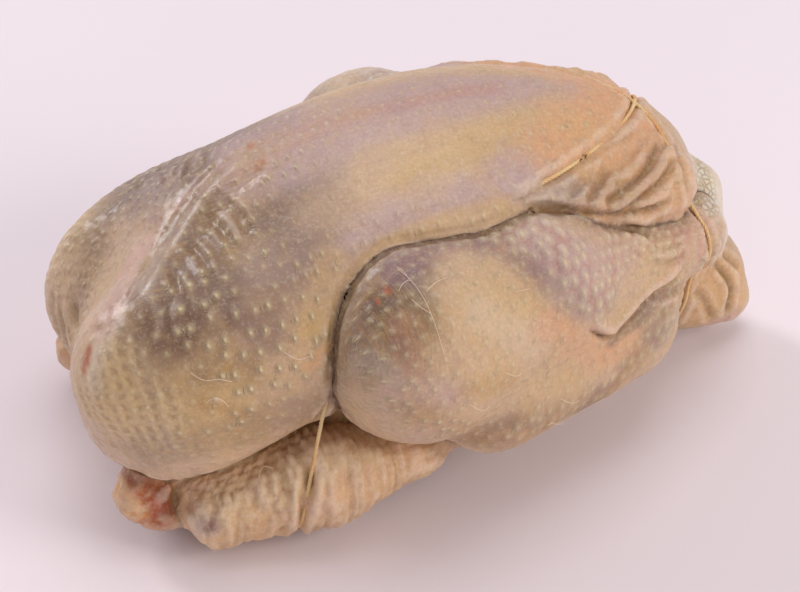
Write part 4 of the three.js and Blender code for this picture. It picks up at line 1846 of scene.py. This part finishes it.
    def beads(self, nodes: NodeTree, place: bpy.types.NodeSocket) -> bpy.types.NodeSocket:
        """Close columns of long beads, each column half a bead from the next, from 0 to 1."""
        around, along, _ = nodes.parts(nodes.attribute("lines"))
        sway = nodes.total(*((nodes.noise(place, waves, 2), far) for waves, far in self.bead_sways))
        turn = 2 * math.pi / self.bead_spacing
        column = nodes.times(nodes.math("ADD", along, sway), turn)
        half = nodes.times(column, 0.5)
        bead = nodes.times(nodes.math("SUBTRACT", around, sway), turn * 0.5)
        first, second = (nodes.math("COSINE", nodes.math(way, half, bead)) for way in ("ADD", "SUBTRACT"))
        lattice = nodes.math("ABSOLUTE", nodes.times(first, second))
        ridge = nodes.math("MULTIPLY_ADD", nodes.math("COSINE", column), 0.5, 0.5)
        return nodes.total((lattice, self.lattice_share), (ridge, 1 - self.lattice_share))

    def lines(self, nodes: NodeTree, place: bpy.types.NodeSocket) -> bpy.types.NodeSocket:
        """Fine lines drawn out along each part, from 0 to 1."""
        across, along, _ = nodes.parts(nodes.attribute("lines"))
        vector = nodes.add("ShaderNodeCombineXYZ")
        sway = nodes.noise(place, self.line_waves, 2)
        swayed = nodes.total((across, self.line_fineness), (sway, self.line_sway))
        nodes.link(swayed, vector.inputs["X"])
        nodes.link(nodes.times(along, self.line_stretch), vector.inputs["Y"])
        return nodes.noise(vector.outputs[0], 1.0, 3)


@dataclass(frozen=True)
class TwineFinish:
    """Cotton kitchen twine, damp and a little yellowed by fat."""

    fibre: float = 2600.0
    fibre_height: float = 0.00012
    blotch: float = 110.0
    greasy_from: tuple[float, float] = (0.35, 0.7)
    bright_from: tuple[float, float] = (0.4, 0.8)
    brightness: float = 0.4
    roughness: float = 0.78
    sheen: float = 0.15

    def material(self) -> bpy.types.Material:
        """Builds the material."""
        nodes = NodeTree(bpy.data.materials.new("kitchen_twine"))
        place = nodes.place()
        greasy = nodes.ramp(nodes.noise(place, self.blotch, 3), *self.greasy_from)
        bright = nodes.ramp(nodes.noise(place, self.fibre, 2), *self.bright_from, self.brightness)
        colour = nodes.stain(nodes.stain(rgba(Tone.TWINE), Tone.FAT, greasy), Tone.PALE, bright)
        nodes.link(colour, nodes.shader.inputs["Base Color"])
        nodes.shader.inputs["Roughness"].default_value = self.roughness
        nodes.shader.inputs["Sheen Weight"].default_value = self.sheen
        nodes.bump(nodes.noise(place, self.fibre, 3), self.fibre_height)
        return nodes.material


@dataclass(frozen=True)
class FloorFinish:
    """Pale smooth board with a trace of lilac."""

    colour: tuple[float, float, float] = (0.86, 0.78, 0.83)
    shading: float = 0.98
    clouds: float = 3.0
    cloud_edge: tuple[float, float] = (0.2, 0.8)
    cloud_strength: float = 0.3
    roughness: float = 0.9

    def material(self) -> bpy.types.Material:
        """Builds the material."""
        nodes = NodeTree(bpy.data.materials.new("pale_floor"))
        clouds = nodes.noise(nodes.place(), self.clouds, 1)
        shade = nodes.ramp(clouds, *self.cloud_edge, self.cloud_strength)
        deep = tuple(self.shading * c for c in self.colour)
        nodes.link(nodes.mix(shade, (*self.colour, 1), (*deep, 1)), nodes.shader.inputs["Base Color"])
        nodes.shader.inputs["Roughness"].default_value = self.roughness
        return nodes.material


# The twine


@dataclass
class Twine:
    """Three-strand kitchen twine along the route, knotted on the bird's left side."""

    flesh: Flesh
    route: Points
    press: float = 5.0
    core_height: float = 60.0
    strand_radius: float = 0.34
    strand_offset: float = 0.34
    pitch: float = 4.0
    steps_a_turn: int = 9
    curve_steps: int = 12
    knot_near: tuple[float, float, float] = (-49, 66, 52)
    knot_radius: float = 1.7
    knot_steps: int = 72
    end_ways: tuple[tuple[float, float, float], ...] = ((-0.75, 0.1, -0.65), (0.45, 0.1, -0.9))
    end_step: float = 3.2
    end_steps: int = 5
    end_clear: float = 1.8
    least_slope: float = 0.25

    def build(self, finish: TwineFinish) -> bpy.types.Object:
        """Makes the twine's object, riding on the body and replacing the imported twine."""
        inward = self.route * np.array([0, -1, -1]) + np.array([0, 0, self.core_height])
        inward /= np.linalg.norm(inward, axis=1)[:, None]
        sunk = self.route + inward * (self.press * shut(self.route))[:, None]
        paths = [(path, True) for path in self.strands(sunk, True)]
        knot = self.route[np.argmin(np.linalg.norm(self.route - np.array(self.knot_near), axis=1))]
        paths.append((self.knot(knot), True))
        for way in self.end_ways:
            paths += [(path, False) for path in self.strands(self.end(knot, way), False)]
        piece = sweep("twine_cord", paths, self.strand_radius)
        piece.data.materials.append(finish.material())
        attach(piece, "root")
        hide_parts("twine")
        return piece

    def strands(self, line: Points, closed: bool) -> list[Points]:
        """Three strands twisted round a line."""
        fine = curve_through(line, self.curve_steps, closed)
        ring = np.concatenate([fine, fine[:1]]) if closed else fine
        length = np.linalg.norm(np.diff(ring, axis=0), axis=1).sum()
        turns = max(round(length / self.pitch), 1)
        centre = resample(fine, turns * self.steps_a_turn, closed)
        ahead = np.roll(centre, -1, 0) - np.roll(centre, 1, 0)
        if not closed:
            ahead[0], ahead[-1] = centre[1] - centre[0], centre[-1] - centre[-2]
        out = self.flesh.slope(centre)
        beside = np.cross(ahead, out)
        beside /= np.linalg.norm(beside, axis=1)[:, None]
        out = np.cross(beside, ahead)
        out /= np.linalg.norm(out, axis=1)[:, None]
        turn = 2 * math.pi * turns * np.arange(len(centre)) / len(centre)
        made = []
        for k in range(3):
            a = (turn + 2 * math.pi * k / 3)[:, None]
            made.append(centre + self.strand_offset * (np.cos(a) * out + np.sin(a) * beside))
        return made

    def knot(self, centre: np.ndarray) -> Points:
        """The knot's own turn, a closed torus knot."""
        u = np.linspace(0, 4 * math.pi, self.knot_steps, endpoint=False)
        ring = 2 + np.cos(1.5 * u)
        shape = np.stack([ring * np.cos(u), np.sin(1.5 * u), ring * np.sin(u)], 1)
        return centre + shape * self.knot_radius * 0.5

    def end(self, knot: np.ndarray, way: tuple[float, float, float]) -> Points:
        """One cut end, hanging from the knot just clear of the skin."""
        step = np.array(way) / np.linalg.norm(way) * self.end_step
        points = [knot]
        for _ in range(self.end_steps):
            p = (points[-1] + step)[None]
            if self.flesh(p)[0] < self.end_clear:
                p = self.flesh.settle(p, self.end_clear, self.least_slope)
            points.append(p[0])
        return np.array(points)


def sweep(name: str, paths: Sequence[tuple[Points, bool]], radius: float) -> bpy.types.Object:
    """One mesh of round strands.

    Args:
        name: the object's name.
        paths: each strand's points, and whether it is closed.
        radius: of a strand, in millimetres like the points.

    Returns:
        The object.
    """
    data = bpy.data.curves.new(name, "CURVE")
    data.dimensions = "3D"
    data.bevel_depth = radius * MM
    data.bevel_resolution = 1
    data.use_fill_caps = True
    for path, closed in paths:
        spline = data.splines.new("POLY")
        spline.points.add(len(path) - 1)
        flat = np.concatenate([path * MM, np.ones((len(path), 1))], 1)
        spline.points.foreach_set("co", flat.astype(np.float32).ravel())
        spline.use_cyclic_u = closed
    holder = placed("path", data)
    ready = holder.evaluated_get(bpy.context.evaluated_depsgraph_get())
    mesh = bpy.data.meshes.new_from_object(ready)
    bpy.data.objects.remove(holder)
    mesh.name = name
    mesh.polygons.foreach_set("use_smooth", np.ones(len(mesh.polygons), bool))
    return placed(name, mesh)


# The hairs


@dataclass(frozen=True)
class HairFinish:
    """Pale, nearly clear hair."""

    roughness: float = 0.35

    def material(self) -> bpy.types.Material:
        """Builds the material."""
        nodes = NodeTree(bpy.data.materials.new("fine_hair"))
        nodes.shader.inputs["Base Color"].default_value = rgba(Tone.PALE)
        nodes.shader.inputs["Roughness"].default_value = self.roughness
        return nodes.material


@dataclass
class Hairs:
    """The few fine hairs that plucking left."""

    tracer: Tracer
    flesh: Flesh
    radius: float = 0.075
    lift: float = 0.55
    arch: float = 0.9
    curve_steps: int = 3

    def build(self, finish: HairFinish) -> bpy.types.Object:
        """Makes the hairs' object, riding on the body."""
        paths = []
        for pixels in HAIRS.values():
            line = self.tracer.cast(pixels)
            if len(line) < 3:
                continue
            line = resample(curve_through(line, self.curve_steps, False), len(line) * 2, False)
            rise = self.lift + self.arch * np.sin(math.pi * np.linspace(0, 1, len(line)))
            paths.append((line + self.flesh.slope(line) * rise[:, None], False))
        piece = sweep("fine_hairs", paths, self.radius)
        piece.data.materials.append(finish.material())
        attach(piece, "root")
        return piece


# The floor and the light


@dataclass(frozen=True)
class Lamp:
    """A rectangular soft light aimed at the bird."""

    name: str
    place: tuple[float, float, float]
    size: tuple[float, float]
    power: float
    colour: tuple[float, float, float]
    mirrored: bool = True
    aim_height: float = 0.05

    def place_at(self) -> None:
        """Makes the light."""
        data = bpy.data.lights.new(self.name, "AREA")
        data.shape = "RECTANGLE"
        data.size, data.size_y = self.size
        data.energy = self.power
        data.color = self.colour
        lamp = placed(self.name, data)
        lamp.location = self.place
        lamp.visible_glossy = self.mirrored
        aim = Vector((0, 0, self.aim_height)) - Vector(self.place)
        lamp.rotation_euler = aim.to_track_quat("-Z", "Y").to_euler()


@dataclass
class Studio:
    """The pale floor and the soft light."""

    floor_reach: float = 3.0
    floor_faces: int = 8
    lamps: tuple[Lamp, ...] = (
        Lamp("back_window", (-1.0, 1.85, 1.2), (0.5, 1.4), 26.0, (0.98, 0.96, 1.0)),
        Lamp("side_window", (1.5, -1.2, 1.0), (1.0, 1.0), 21.0, (1.0, 0.96, 0.91), False),
        Lamp("front_fill", (-0.7, -1.9, 0.45), (1.2, 0.8), 5.5, (1.0, 0.95, 0.88), False),
        Lamp("ceiling", (0.1, 0.1, 2.0), (1.2, 1.2), 12.0, (1.0, 0.97, 0.98)),
    )
    sky: tuple[float, float, float] = (1.0, 0.95, 0.97)
    sky_strength: float = 0.34

    def build(self, finish: FloorFinish) -> None:
        """Makes the floor, the lights and the sky."""
        bpy.context.scene.view_settings.view_transform = "Standard"
        work, faces = bmesh.new(), self.floor_faces
        bmesh.ops.create_grid(work, x_segments=faces, y_segments=faces, size=self.floor_reach)
        mesh = bpy.data.meshes.new("floor")
        work.to_mesh(mesh)
        work.free()
        mesh.materials.append(finish.material())
        floor = placed("floor", mesh)
        for lamp in self.lamps:
            lamp.place_at()
        world = bpy.data.worlds.new("sky")
        bpy.context.scene.world = world
        world.use_nodes = True
        background = world.node_tree.nodes["Background"]
        background.inputs["Color"].default_value = (*self.sky, 1)
        background.inputs["Strength"].default_value = self.sky_strength


def tree_of(mesh: bpy.types.Mesh) -> BVHTree:
    """A search tree of a mesh, in millimetres."""
    points = (vertex_values(mesh) / MM).tolist()
    return BVHTree.FromPolygons(points, [tuple(f.vertices) for f in mesh.polygons])


def main() -> None:
    """Builds the dressed bird, its twine, the floor and the light."""
    logging.basicConfig(level=logging.INFO, format="%(asctime)s %(name)s: %(message)s")
    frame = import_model()
    view = PhotoView()
    view.place_camera()
    flesh = Flesh()
    route = TwineRoute(flesh).taut()
    LOG.info("twine route: %d points", len(route))
    fine_flesh = Flesh(leg_seam=FINE_LEG_SEAM, wing_seam=FINE_WING_SEAM)
    route = laid(route, fine_flesh)
    skin = BirdSkin(frame["nodes"]["bird"], fine_flesh, view, route).build(SkinFinish())
    LOG.info("%s built", skin.name)
    twine = Twine(flesh, route).build(TwineFinish())
    LOG.info("%s built, %d faces", twine.name, len(twine.data.polygons))
    hairs = Hairs(Tracer(view, tree_of(skin.data)), fine_flesh).build(HairFinish())
    LOG.info("%s built, %d faces", hairs.name, len(hairs.data.polygons))
    Studio().build(FloorFinish())


if __name__ == "__main__":
    main()
